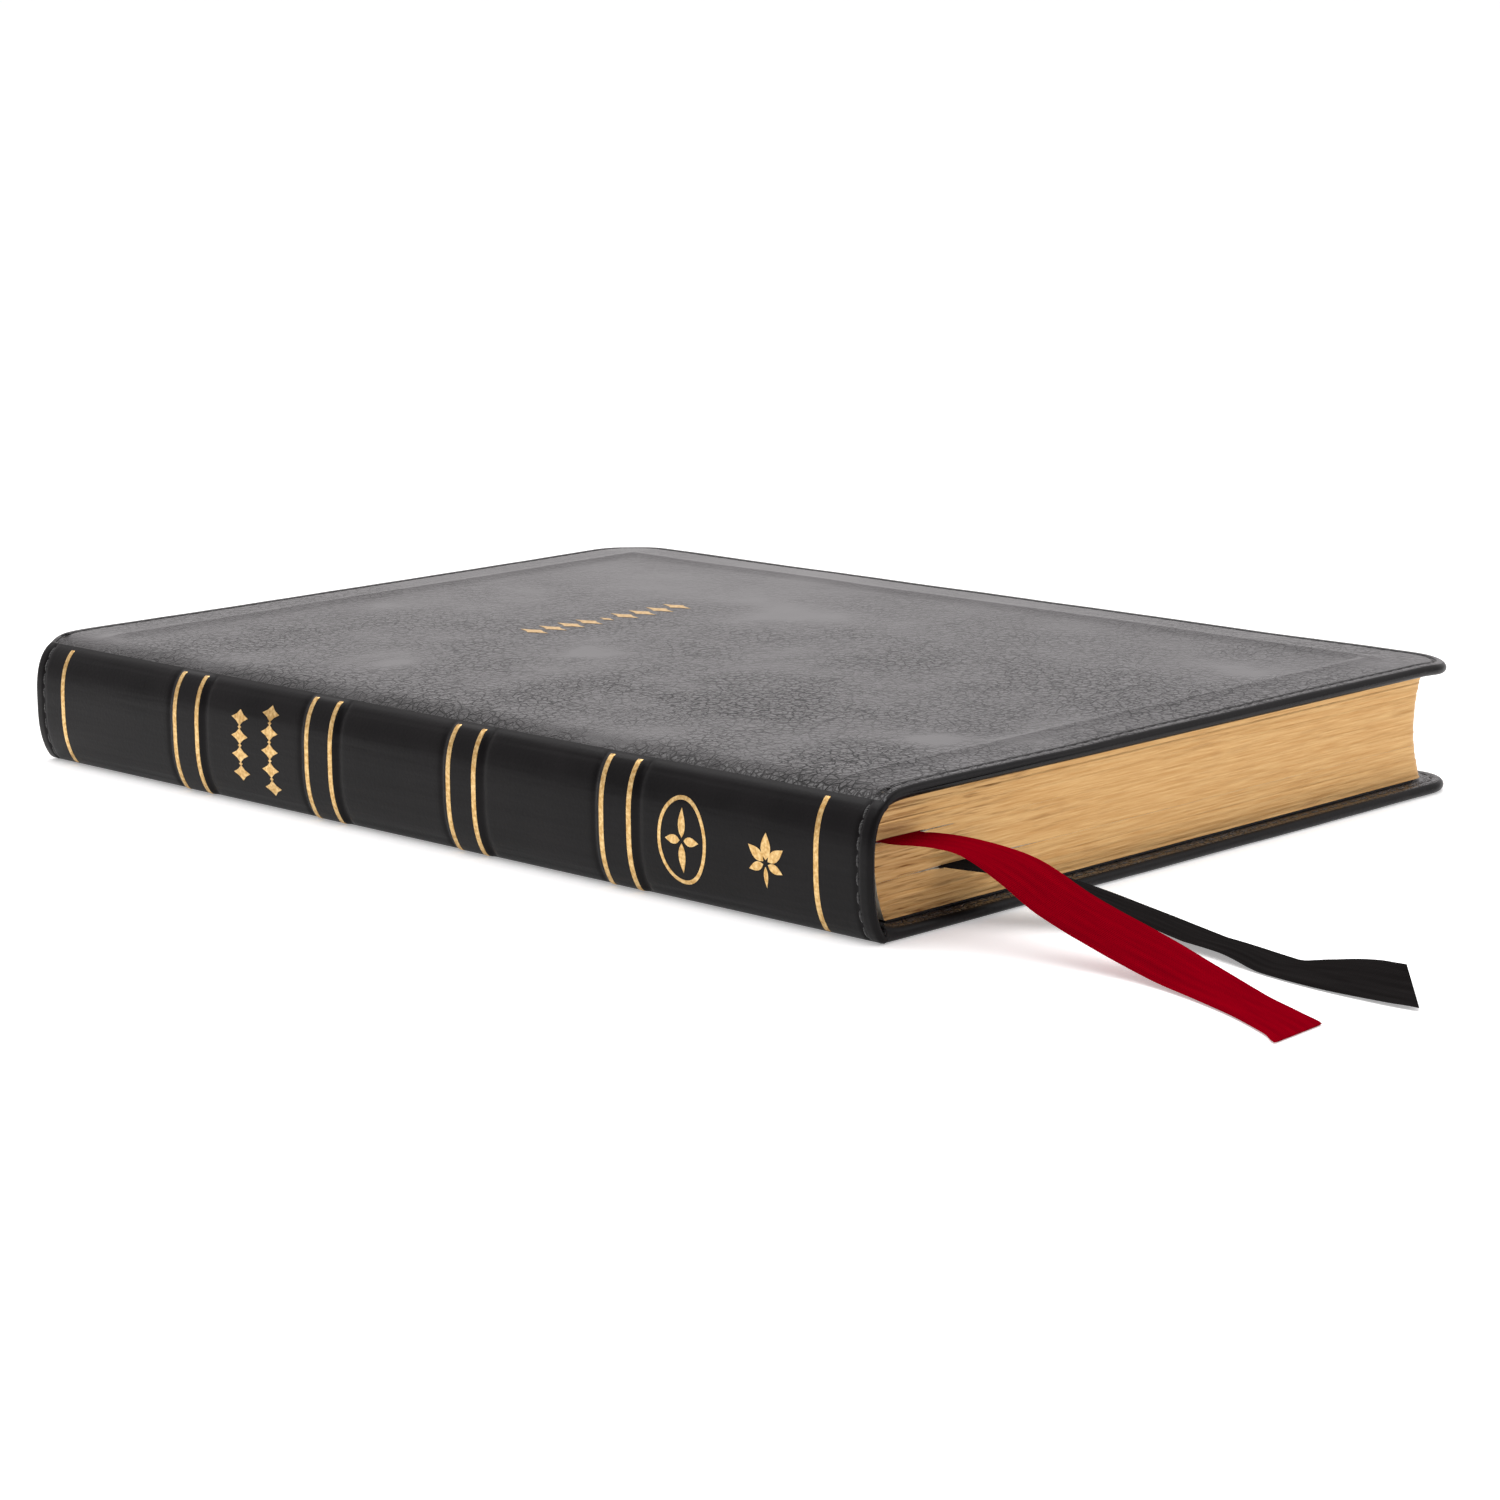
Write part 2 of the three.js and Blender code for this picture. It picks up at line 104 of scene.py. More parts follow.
camera = bpy.data.objects.new("camera", bpy.data.cameras.new("camera"))
bpy.context.scene.collection.objects.link(camera)
bpy.context.scene.camera = camera
camera.data.lens = LENS
camera.data.shift_x, camera.data.shift_y = SHIFT
camera.data.clip_start, camera.data.clip_end = 0.01, 50
camera.location = place(*CAMERA_AT)
backward = Vector((
    math.sin(CAMERA_AZIMUTH) * math.cos(CAMERA_ELEVATION),
    -math.cos(CAMERA_AZIMUTH) * math.cos(CAMERA_ELEVATION),
    math.sin(CAMERA_ELEVATION),
))
camera.rotation_mode = "QUATERNION"
camera.rotation_quaternion = (
    Matrix.Rotation(CAMERA_ROLL, 3, backward) @ backward.to_track_quat("Z", "Y").to_matrix()
).to_quaternion()


# Tools of the bench

def deselect():
    if bpy.context.object and bpy.context.object.mode != "OBJECT":
        bpy.ops.object.mode_set(mode="OBJECT")
    bpy.ops.object.select_all(action="DESELECT")


def activate(piece, *others):
    deselect()
    for other in others:
        other.select_set(True)
    piece.select_set(True)
    bpy.context.view_layer.objects.active = piece


def coordinates(piece):
    found = np.zeros(len(piece.data.vertices) * 3)
    piece.data.vertices.foreach_get("co", found)
    return found.reshape(-1, 3)


def put(piece, points):
    """Puts the mesh's points at these rows of x, y, z in metres."""
    piece.data.vertices.foreach_set("co", points.astype(np.float32).ravel())
    piece.data.update()


def cut_sheet(name, columns, rows):
    """A flat sheet with a grid of cells, and the column and row of each of its points."""
    deselect()
    bpy.ops.mesh.primitive_grid_add(x_subdivisions=columns, y_subdivisions=rows, size=1)
    sheet = bpy.context.object
    sheet.name = sheet.data.name = name
    flat = coordinates(sheet)
    column = np.rint((flat[:, 0] + 0.5) * columns).astype(int)
    row = np.rint((flat[:, 1] + 0.5) * rows).astype(int)
    return sheet, column, row


MERGE = 2e-6


def edit(piece, *steps):
    """Does each step to the whole of the piece."""
    activate(piece)
    bpy.ops.object.mode_set(mode="EDIT")
    for step in steps:
        bpy.ops.mesh.select_all(action="SELECT")
        step()
    bpy.ops.object.mode_set(mode="OBJECT")


def close_up(piece):
    """Merges what touches, fills the open edges and turns every face outwards."""
    edit(piece, partial(bpy.ops.mesh.remove_doubles, threshold=MERGE),
         partial(bpy.ops.mesh.fill_holes, sides=0),
         partial(bpy.ops.mesh.normals_make_consistent, inside=False))


def smooth(piece, angle):
    activate(piece)
    bpy.ops.object.shade_smooth_by_angle(angle=math.radians(angle))


def wrap(name, columns, rows, outer, inner, angle=40):
    """A skin with a face and a back, each a sheet laid by its own function of column and row."""
    back, column, row = cut_sheet(name + "_back", columns, rows)
    put(back, at(inner(column, row)))
    edit(back, bpy.ops.mesh.flip_normals)
    face, column, row = cut_sheet(name, columns, rows)
    put(face, at(outer(column, row)))
    for half, index in ((face, 0), (back, 1)):
        finish_with(half, None, None)
        for polygon in half.data.polygons:
            polygon.material_index = index
    activate(face, back)
    bpy.ops.object.join()
    close_up(face)
    smooth(face, angle)
    return face


def turn_over(piece, name, plane):
    """A copy of the piece, mirrored through a level plane."""
    activate(piece)
    bpy.ops.object.duplicate()
    copy = bpy.context.object
    copy.name = copy.data.name = name
    points = coordinates(copy)
    points[:, 2] = 2 * plane * MM - points[:, 2]
    put(copy, points)
    edit(copy, bpy.ops.mesh.flip_normals)
    return copy


def finish_with(piece, *finishes):
    slots = piece.data.materials
    while len(slots) < len(finishes):
        slots.append(None)
    while len(slots) > len(finishes):
        slots.pop()
    for index, finish in enumerate(finishes):
        slots[index] = finish


def ease(value, start, end):
    share = np.clip((value - start) / (end - start), 0, 1)
    return share * share * (3 - 2 * share)


def hump(value, centre, width):
    return np.exp(-(((value - centre) / width) ** 2))


def ripple(x, y, length, seed=0.0):
    return np.array([
        noise.noise(Vector((a / length, b / length, seed))) for a, b in zip(x, y)
    ])


def spread(stops, step):
    """Places from the first stop to the last, no further apart than step."""
    places = [stops[0]]
    for stop in stops[1:]:
        count = max(1, math.ceil((stop - places[-1]) / step - 1e-9))
        start = places[-1]
        places += [start + (stop - start) * (k + 1) / count for k in range(count)]
    return np.array(places)


# Materials

def tint(hexa):
    """A linear colour from an sRGB hex value."""
    channels = [int(hexa[k:k + 2], 16) / 255 for k in (1, 3, 5)]
    return tuple(
        c / 12.92 if c <= 0.04045 else ((c + 0.055) / 1.055) ** 2.4 for c in channels
    ) + (1.0,)


def wire(node, sockets):
    """Sets each of the node's sockets to a value or links it from another node's output."""
    for socket, value in sockets.items():
        if isinstance(value, bpy.types.NodeSocket):
            node.id_data.links.new(value, node.inputs[socket])
        else:
            node.inputs[socket].default_value = value


def add_node(tree, kind, sockets, out=0, **settings):
    """Adds a node with its settings and links, and gives one of its outputs."""
    node = tree.nodes.new("ShaderNode" + kind)
    for key, value in settings.items():
        setattr(node, key, value)
    wire(node, sockets)
    return node.outputs[out]


COLOURS = {"data_type": "RGBA", "out": 2}  # a Mix node that mixes colours


def start_material(name, **constants):
    """A new material, its shader, and add_node for it."""
    made = bpy.data.materials.new(name)
    made.use_nodes = True
    shader = made.node_tree.nodes["Principled BSDF"]
    wire(shader, {socket.replace("_", " "): value for socket, value in constants.items()})
    return made, shader, partial(add_node, made.node_tree)


def object_space(add, scale=(1, 1, 1)):
    return add("Mapping", {"Vector": add("TexCoord", {}, "Object"), "Scale": scale})


def crackled_leather(name, light, dark, roughness, crease_depth, specular, dusted=False):
    """PU-coated imitation leather, embossed: satin, with fine crackled cells that come and go,
    their creases painted darker as shade.
    """
    made, shader, add = start_material(name, Specular_IOR_Level=specular)
    where = object_space(add)

    def grains(per_metre, detail, low, high, most=1.0):
        """0 where the noise is below low, most where it is above high."""
        found = add("TexNoise", {"Vector": where, "Scale": per_metre, "Detail": detail})
        return add("MapRange", {"Value": found, "From Min": low, "From Max": high,
                                "To Max": most})

    wander = add("TexNoise", {"Vector": where, "Scale": 240.0, "Detail": 2.0}, "Color")
    bent = add("VectorMath", {0: wander, 1: (0.0022, 0.0022, 0.0022)}, operation="MULTIPLY")
    warped = add("VectorMath", {0: where, 1: bent}, operation="ADD")
    # the leather creased most at the corner of the spine and the tail, where the book is bent
    along_x = add("SeparateXYZ", {0: where}, "X")
    along_y = along_x.node.outputs["Y"]
    bend = add("Math", {0: along_y, 1: 0.5, 2: along_x}, operation="MULTIPLY_ADD")
    away = add("MapRange", {
        "Value": bend, "From Min": -0.12, "From Max": 0.09, "To Min": 1.0, "To Max": 0.12,
    })
    patches = grains(34.0, 3.0, 0.3, 0.6, away)
    # cells of about 2.2 mm and, inside them, of 1 mm
    big, small = (
        add("MapRange", {
            "Value": add("TexVoronoi", {"Vector": warped, "Scale": scale}, "Distance",
                         feature="DISTANCE_TO_EDGE"),
            "From Min": reach, "From Max": 0.0, "To Max": patches,
        })
        for scale, reach in ((450.0, 0.09), (980.0, 0.11))
    )
    small = add("Math", {0: small, 1: 0.55}, operation="MULTIPLY")
    creases = add("Math", {0: big, 1: small}, operation="MAXIMUM")
    height = add("Math", {0: 1.0, 1: creases}, operation="SUBTRACT")
    pores = add("TexNoise", {"Vector": where, "Scale": 2600.0, "Detail": 2.0})
    relief = add("Math", {0: pores, 1: 0.05, 2: height}, operation="MULTIPLY_ADD")
    # painted shade: the crease hollows take the dark colour
    colour = add("Mix", {0: height, 6: tint(dark), 7: tint(light)}, **COLOURS)
    cloudy = grains(60.0, 4.0, 0.25, 0.75, 0.35)
    colour = add("Mix", {0: cloudy, 6: colour, 7: tint(dark)}, **COLOURS)
    if dusted:
        flecks = grains(1100.0, 1.0, 0.60, 0.66, grains(90.0, 2.0, 0.45, 0.65))
        colour = add("Mix", {0: flecks, 6: colour, 7: tint("#C89B52")}, **COLOURS)
    wire(shader, {
        "Base Color": colour,
        "Roughness": add("MapRange", {"Value": height, "To Min": 0.85, "To Max": roughness}),
        "Normal": add("Bump", {"Height": relief, "Distance": crease_depth}),
    })
    return made


# Cover: embossed imitation leather, which looks dark grey and satin, with crackled creases
cover_leather = crackled_leather("pu_leather_crackled", "#1F1B1D", "#020202", 0.29, 0.0004, 0.62)
# Inside: the same leather turned in, dusted with gold from the gilding of the edges, and painted
# darker than the cover as shade, since it lies under the pages and the covers' edges
shaded_turn_in_leather = crackled_leather("pu_leather_turned_in_painted_shade", "#0C0B0B", "#040303", 0.42, 0.0001,
                                   0.14, dusted=True)


def shaded_stretched_leather():
    """The spine's leather, pulled tight over card: glossier, with a fine grain, and painted
    blacker than the cover as shade on the sides turned from the light.
    """
    made, shader, add = start_material("pu_leather_stretched_painted_shade", Specular_IOR_Level=0.11)
    where = object_space(add)
    grain = add("TexNoise", {"Vector": where, "Scale": 1500.0, "Detail": 3.0})
    drift = add("TexNoise", {"Vector": where, "Scale": 70.0, "Detail": 4.0})
    pull = add("TexNoise", {"Vector": object_space(add, (60.0, 12.0, 260.0)), "Scale": 1.0,
                            "Detail": 3.0})
    share = add("MapRange", {"Value": drift, "From Min": 0.3, "From Max": 0.7})
    relief = add("Math", {0: grain, 1: 0.12, 2: pull}, operation="MULTIPLY_ADD")
    wire(shader, {
        # painted shade: near black, darker than the cover's leather
        "Base Color": add("Mix", {0: share, 6: tint("#0B0A0B"), 7: tint("#141213")}, **COLOURS),
        "Roughness": add("MapRange", {"Value": drift, "To Min": 0.26, "To Max": 0.42}),
        "Normal": add("Bump", {"Height": relief, "Distance": 0.00022}),
    })
    return made


spine_leather = shaded_stretched_leather()


def hot_foil():
    """Gold foil pressed in hot: metal, a little worn, with the grain showing through."""
    made, shader, add = start_material("gold_foil_stamped", Metallic=1.0)
    wear = add("TexNoise", {"Vector": object_space(add), "Scale": 1400.0, "Detail": 3.0})
    share = add("MapRange", {"Value": wear, "From Min": 0.35, "From Max": 0.65})
    wire(shader, {
        "Base Color": add("Mix", {0: share, 6: tint("#C0975A"), 7: tint("#E8C88E")}, **COLOURS),
        "Roughness": add("MapRange", {"Value": wear, "To Min": 0.34, "To Max": 0.5}),
        "Normal": add("Bump", {"Height": wear, "Distance": 0.00003}),
    })
    return made


gold_foil = hot_foil()


def gilded_edges():
    """Page edges burnished and gilded: gold leaf over hundreds of thin sheets."""
    made, shader, add = start_material("gilt_paper_edge", Metallic=0.85)
    # sheets of about 0.1 mm, drawn in packs of 0.3 mm so that they show
    sheets, packs, blotches = (
        add("TexNoise", {"Vector": object_space(add, scale), "Scale": 1.0, "Detail": detail,
                         "Roughness": roughness})
        for scale, detail, roughness in (
            ((110.0, 110.0, 3300.0), 3.0, 0.6), ((110.0, 110.0, 2100.0), 3.0, 0.55),
            ((45.0, 45.0, 200.0), 4.0, 0.5),
        )
    )
    # pages near the spine are opened more, so their gold is broken into more dark streaks
    near_spine = add("MapRange", {
        "Value": add("SeparateXYZ", {0: object_space(add)}, "X"),
        "From Min": HINGE_X + 0.012, "From Max": HINGE_X + 0.055, "To Min": 0.9, "To Max": 0.144,
    })
    broken = add("MapRange", {"Value": blotches, "From Min": 0.38, "From Max": 0.60,
                              "To Max": near_spine})
    streaks = add("MapRange", {"Value": packs, "From Min": 0.52, "From Max": 0.66,
                               "To Max": broken})
    bare = add("MapRange", {"Value": blotches, "From Min": 0.62, "From Max": 0.8, "To Max": 0.4})
    share = add("MapRange", {"Value": sheets, "From Min": 0.3, "From Max": 0.7})
    colour = add("Mix", {0: share, 6: tint("#BA8E56"), 7: tint("#D0AB75")}, **COLOURS)
    for share, dark in ((streaks, "#6E4416"), (bare, "#8A5A28")):
        colour = add("Mix", {0: share, 6: colour, 7: tint(dark)}, **COLOURS)
    relief = add("Math", {0: sheets, 1: packs}, operation="ADD")
    wire(shader, {
        "Base Color": colour,
        "Roughness": add("MapRange", {"Value": packs, "To Min": 0.42, "To Max": 0.62}),
        "Normal": add("Bump", {"Height": relief, "Distance": 0.00006}),
    })
    return made


gilt_edge = gilded_edges()


def fibrous(name, light, dark, roughness, per_metre, depth, stretch=(1, 1, 1)):
    """Paper or card: matt, two near colours clouded together and a small relief."""
    made, shader, add = start_material(name, Roughness=roughness)
    cloud = add("TexNoise", {"Vector": object_space(add, stretch), "Scale": per_metre,
                             "Detail": 5.0, "Roughness": 0.6})
    share = add("MapRange", {"Value": cloud, "From Min": 0.3, "From Max": 0.7})
    wire(shader, {
        "Base Color": add("Mix", {0: share, 6: tint(dark), 7: tint(light)}, **COLOURS),
        "Normal": add("Bump", {"Height": cloud, "Distance": depth}),
    })
    return made


# Bible paper: thin, cream, faintly clouded, with slight cockling
page_paper = fibrous("bible_paper", "#F3EEE1", "#E9E2D0", 0.85, 180.0, 0.00004)
endpaper = fibrous("endpaper_black", "#232122", "#171616", 0.75, 900.0, 0.00003)
grey_board = fibrous("grey_board", "#8F877C", "#756E64", 0.92, 700.0, 0.00005)
kraft_lining = fibrous("kraft_paper", "#B99D74", "#9E8159", 0.88, 500.0, 0.00004, (1, 4, 1))


def woven(name, light, dark, threads, depth, roughness=0.85, specular=0.5):
    """Plain weave: threads cross over and under at a real spacing along y and z."""
    made, shader, add = start_material(name, Roughness=roughness, Specular_IOR_Level=specular)
    where = object_space(add)
    first, second = (
        add("TexWave", {"Vector": where, "Scale": threads, "Distortion": 0.6, "Detail": 1.0,
                        "Detail Scale": 2.0}, "Fac", bands_direction=axis)
        for axis in ("Y", "Z")
    )
    cloth = add("Math", {0: first, 1: second}, operation="MULTIPLY")
    wire(shader, {
        # painted shade: where the threads sink between crossings the weave takes the dark colour
        "Base Color": add("Mix", {0: cloth, 6: tint(dark), 7: tint(light)}, **COLOURS),
        "Normal": add("Bump", {"Height": cloth, "Distance": depth}),
    })
    return made


# Mull: open starched cotton, about one thread a millimetre
mull_cloth = woven("mull_cotton", "#EDE8DC", "#BDB6A6", 330.0, 0.0002)
linen_thread = woven("waxed_linen_thread", "#F2EEE4", "#CFC8B6", 900.0, 0.0001, 0.6)
# Satin ribbon pressed flat between the pages
red_pressed = woven("satin_red_pressed", "#94040F", "#6E0010", 620.0, 0.00004, 0.6, 0.04)
black_pressed = woven("satin_black_pressed", "#262324", "#121011", 620.0, 0.00004, 0.6, 0.04)


def satin(name, light, dark, groove_shade):
    """Polyester satin ribbon: floats along its length, their soft streaked sheen painted into its
    colour, with painted shade in the grooves of the weave.
    """
    made, shader, add = start_material(name, Roughness=0.6, Specular_IOR_Level=0.0)
    uv = add("UVMap", {}, uv_map="ribbon")
    # wefts drawn 0.4 mm apart and warps 0.35 mm apart, coarser than real, so that they show
    across = add("TexWave", {"Vector": uv, "Scale": 780.0, "Distortion": 0.8, "Detail": 1.0},
                 "Fac", bands_direction="Y")
    along = add("TexWave", {"Vector": uv, "Scale": 900.0, "Distortion": 0.5, "Detail": 1.0},
                "Fac", bands_direction="X")
    # painted sheen: streaks along the ribbon in lighter and darker colour
    floats = add("Mapping", {"Vector": uv, "Scale": (900.0, 60.0, 1.0)})
    shade = add("TexNoise", {"Vector": floats, "Scale": 1.0, "Detail": 3.0})
    share = add("MapRange", {"Value": shade, "From Min": 0.3, "From Max": 0.7})
    weave = add("Math", {0: across, 1: 0.6, 2: along}, operation="MULTIPLY_ADD")
    # painted shade: the weave's grooves take the darkest colour
    groove_shade_mask = add("MapRange", {"Value": weave, "From Min": 0.0, "From Max": 0.5})
    colour = add("Mix", {0: share, 6: tint(dark), 7: tint(light)}, **COLOURS)
    wire(shader, {
        "Base Color": add("Mix", {0: groove_shade_mask, 6: tint(groove_shade), 7: colour}, **COLOURS),
        "Normal": add("Bump", {"Height": weave, "Distance": 0.00005}),
    })
    return made


red_satin = satin("satin_ribbon_red", "#8C0012", "#780010", "#54000A")
black_satin = satin("satin_ribbon_black", "#232121", "#191717", "#100F0F")


def twisted_thread():
    """Black bonded sewing thread: two plies whose twist shows as slanting ridges."""
    made, shader, add = start_material("bonded_thread_black", Roughness=0.5, Sheen_Weight=0.2)
    twist = add("TexWave", {"Vector": object_space(add), "Scale": 900.0, "Distortion": 1.0},
                "Fac", bands_direction="DIAGONAL")
    wire(shader, {
        # painted shade: the grooves between the plies take the darker colour
        "Base Color": add("Mix", {0: twist, 6: tint("#060505"), 7: tint("#151314")}, **COLOURS),
        "Normal": add("Bump", {"Height": twist, "Distance": 0.00008}),
    })
    return made


black_thread = twisted_thread()


# Ribbons. Each free tail goes from its slit down to the table: the way along x and y from the
# slit, and the height as a share of the slit's own height, close to the part's own source.
RIBBON_WIDTH = 11.0
RIBBON_THICKNESS = 0.3
RED_EXIT = 8.0
BLACK_EXIT = 24.0
RED_TAIL = (
    (0, 0, 1), (0, -1, 1), (0, -2.5, 1.004), (0.9, -5, 1.01), (2.3, -8, 1),
    (3.6, -11.5, 0.975), (4.5, -15, 0.93), (5, -19, 0.865), (5.2, -24, 0.757),
    (5.6, -30, 0.58), (6.1, -36, 0.44), (6.4, -42.5, 0.32), (6.3, -49.5, 0.21),
    (5.5, -56.5, 0.12), (4, -63.5, 0.065), (1.9, -70.5, 0.03), (-0.8, -77.5, 0.018),
    (-4.2, -84.5, 0.018), (-6.5, -88.2, 0.018),
)
BLACK_TAIL = (
    (0, 0, 1), (0, -1, 1), (0.5, -3.5, 1), (1.8, -6, 0.97), (3.8, -9, 0.91), (6.2, -12.5, 0.81),
    (8.7, -16.5, 0.68), (10.8, -21, 0.54), (12.2, -26, 0.4), (13, -31.5, 0.27),
    (13.1, -37, 0.165), (12.5, -43, 0.09), (11.3, -49.5, 0.05), (9.6, -56.5, 0.04),
    (8, -63.5, 0.04), (6.8, -70.5, 0.045), (6.1, -77.5, 0.06), (5.8, -84.5, 0.1),
    (5.9, -89.6, 0.14),
)
STEPS_BETWEEN = 6
ACROSS = 16


def through(points, steps):
    """A smooth line through the points."""
    points = np.asarray(points, float)
    ends = np.vstack([2 * points[0] - points[1], points, 2 * points[-1] - points[-2]])
    line = []
    for k in range(1, len(ends) - 2):
        a, b, c, d = ends[k - 1:k + 3]
        for step in range(steps):
            t = step / steps
            line.append(0.5 * (2 * b + (c - a) * t + (2 * a - 5 * b + 4 * c - d) * t ** 2
                               + (3 * b - a - 3 * c + d) * t ** 3))
    line.append(points[-1])
    return np.array(line)


def satin_tail(name, exit_x, slit, steps, roll, crown, slant):
    """A ribbon tail. roll turns its width about its way, crown arches it across its width, and
    slant is how far its cut end runs out of square."""
    route = np.array([(exit_x + x, BLOCK_TAIL + y, slit * share) for x, y, share in steps])
    line = through(route, STEPS_BETWEEN)
    way = np.gradient(line, axis=0)
    way /= np.linalg.norm(way, axis=1)[:, None]
    level = np.stack([way[:, 1], -way[:, 0], np.zeros(len(way))], axis=1)
    level /= np.linalg.norm(level, axis=1)[:, None]
    up = np.cross(level, way)
    travel = np.concatenate([[0], np.cumsum(np.linalg.norm(np.diff(line, axis=0), axis=1))])
    turn = np.radians(roll(travel / travel[-1]))[:, None]
    clear = RIBBON_THICKNESS / 2 + 0.1 + RIBBON_WIDTH / 2 * np.abs(np.sin(turn[:, 0]))
    line[:, 2] = np.maximum(line[:, 2], clear)
    side = level * np.cos(turn) + up * np.sin(turn)
    top = up * np.cos(turn) - level * np.sin(turn)

    def surface(lift):
        def laid(column, row):
            share = 2.0 * column / ACROSS - 1
            edge = np.sqrt(1 - np.abs(share) ** 12)
            arch = crown(travel[row] / travel[-1]) * (1 - share ** 2)
            end = slant * share * ease(travel[row], travel[-1] - 30, travel[-1])
            return (line[row] + side[row] * (share * RIBBON_WIDTH / 2)[:, None]
                    + top[row] * (lift * RIBBON_THICKNESS / 2 * edge + arch)[:, None]
                    + way[row] * end[:, None])
        return laid

    piece = wrap(name, ACROSS, len(line) - 1, surface(1), surface(-1), 50)
    uv = piece.data.uv_layers.new(name="ribbon")
    where = coordinates(piece)
    millimetres = (where - np.array([HINGE_X, TAIL_Y, 0.0])) / MM
    nearest = [int(np.argmin(((line - p) ** 2).sum(1))) for p in millimetres]
    spot = np.array([
        ((p - line[k]) @ side[k], travel[k] + (p - line[k]) @ way[k])
        for p, k in zip(millimetres, nearest)
    ]) * MM
    for loop in piece.data.loops:
        uv.data[loop.index].uv = spot[loop.vertex_index]
    return piece, line, travel[-1]


def red_roll(share):
    return -17 * ease(share, 0.12, 0.35) * (1 - ease(share, 0.5, 0.85))


def red_crown(share):
    return 0.45 * np.sin(share * math.pi) ** 2


def black_roll(share):
    return 6 * ease(share, 0.1, 0.35) - 10 * ease(share, 0.6, 0.78) - 19 * ease(share, 0.68, 1)


def black_crown(share):
    return 0.3 * np.sin(share * math.pi) ** 2 - 0.9 * ease(share, 0.85, 1.0)


RIBBONS = (
    ("red_ribbon", "red_ribbon_tail", RED_EXIT, RED_SLIT, RED_TAIL, red_roll, red_crown, 4.1,
     red_satin, "red_satin"),
    ("black_ribbon", "black_ribbon_tail", BLACK_EXIT, BLACK_SLIT, BLACK_TAIL, black_roll,
     black_crown, 4.4, black_satin, "black_satin"),
)
for name, node, exit_x, slit, steps, roll, crown, slant, cloth, slot in RIBBONS:
    tail, line, length = satin_tail(name, exit_x, slit, steps, roll, crown, slant)
    finish_with(tail, cloth, cloth)
    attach(tail, "rear_pages")
    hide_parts(node)
    tuple(at([line[0]])[0])
    [tuple(p) for p in at(line)]


# Covers
CORNER = 9.0          # radius of the fore corners
LEATHER = 0.8
WRAP = 1.8            # leather outside the board's edge
TURN_IN = 13.0
BEAD = COVER / 2      # the folded edge is a full round
STITCH_INSET = 2.5
STITCH_PITCH = 3.2
SEAM_X = 0.2          # where the spine's leather ends and the cover's begins
EDGE_STOPS = (
    13.9, 13.4, 13.0, 12.9, 11.6, 10.2, 9.0, 7.6, 6.4, 5.4, 4.6, 4.0, 3.5, 3.1, 2.8, 2.5, 2.2,
    1.9, 1.6, 1.3, 1.0, 0.72, 0.48, 0.28, 0.13, 0.04, 0.0,
)
COVER_CELL = 2.0
HINGE_STOPS = (
    SEAM_X, 0.5, 0.8, 1.1, 1.4, 1.7, WRAP + HINGE_GAP, WRAP + HINGE_GAP + 0.1, 2.5, 3.0, 3.6, 4.3,
    5.2, 6.4,
)

FAR_STOPS = tuple(WIDTH - stop for stop in EDGE_STOPS)
COVER_X = np.concatenate([
    HINGE_STOPS[:-1], spread((HINGE_STOPS[-1], FAR_STOPS[0]), COVER_CELL), FAR_STOPS[1:],
])
COVER_Y = np.concatenate([
    EDGE_STOPS[:0:-1], spread((EDGE_STOPS[0], HEIGHT - EDGE_STOPS[0]), COVER_CELL),
    [HEIGHT - stop for stop in EDGE_STOPS[1:]],
])


def from_edge(x, y):
    """Distance to the nearest of the tail, fore and head edges."""
    return np.minimum(np.minimum(WIDTH - x, y), HEIGHT - y)


def round_corners(x, y):
    """Draws the square sheet's two fore corners in to arcs."""
    x, y = x.copy(), y.copy()
    for tail_side in (True, False):
        centre = CORNER if tail_side else HEIGHT - CORNER
        away = (centre - y) if tail_side else (y - centre)
        u, v = (x - (WIDTH - CORNER)) / CORNER, away / CORNER
        inside = (u > 1e-6) & (v > 1e-6)
        far = np.maximum(u, v)
        near = np.minimum(u, v)
        with np.errstate(divide="ignore", invalid="ignore"):
            eighth = math.pi / 4 * near / far
            turn = np.where(u >= v, eighth, math.pi / 2 - eighth)
        new_x = WIDTH - CORNER + CORNER * far * np.cos(turn)
        rise = CORNER * far * np.sin(turn)
        x = np.where(inside, new_x, x)
        y = np.where(inside, centre - rise if tail_side else centre + rise, y)
    return x, y


def cover_face(x, y, edge):
    """How far the cover's outer face stands above its flat, away from stitches and beads."""
    calm = ease(x, 2.0, 14.0)
    ridge = 0.40 * hump(edge, 13.2, 1.5) - 0.12 * ease(edge, 12.8, 15.4)
    soft = 0.16 * ripple(x, y, 34.0) + 0.05 * ripple(x, y, 11.0, 3.0)
    return calm * (ridge + soft - 0.05)


SHOULDER_DROP = 1.85  # how far the covers' outer face falls toward the rounded spine
SHOULDER_REACH = 1.9
SHOULDER_FOLD = 1.4   # and the leather folded in under it at the head and the tail


def shoulder(x):
    return np.exp(-(x - SEAM_X) / SHOULDER_REACH)


def folded_in(y):
    return 1 - ease(np.minimum(y, HEIGHT - y), 3.4, 4.0)


def bead_drop(edge):
    """Share of half the cover's thickness that its folded edge rounds away."""
    near = np.clip(1 - edge / BEAD, 0, 1)
    return 1 - np.sqrt(1 - near ** 2)


def seam_dip(edge):
    return 0.30 * hump(edge, STITCH_INSET, 0.42) - 0.05 * hump(edge, 1.4, 0.5)


def droop(x, y, edge):
    """The soft edges hang past the pages: 0 over the pages, most at the two corners."""
    fore = ease(x, WIDTH - 14, WIDTH)
    ends = 1 - ease(np.minimum(y, HEIGHT - y), 0, 12)
    return 0.35 * fore + 0.18 * ends * ease(x, 10, 60) + 0.3 * fore * ends


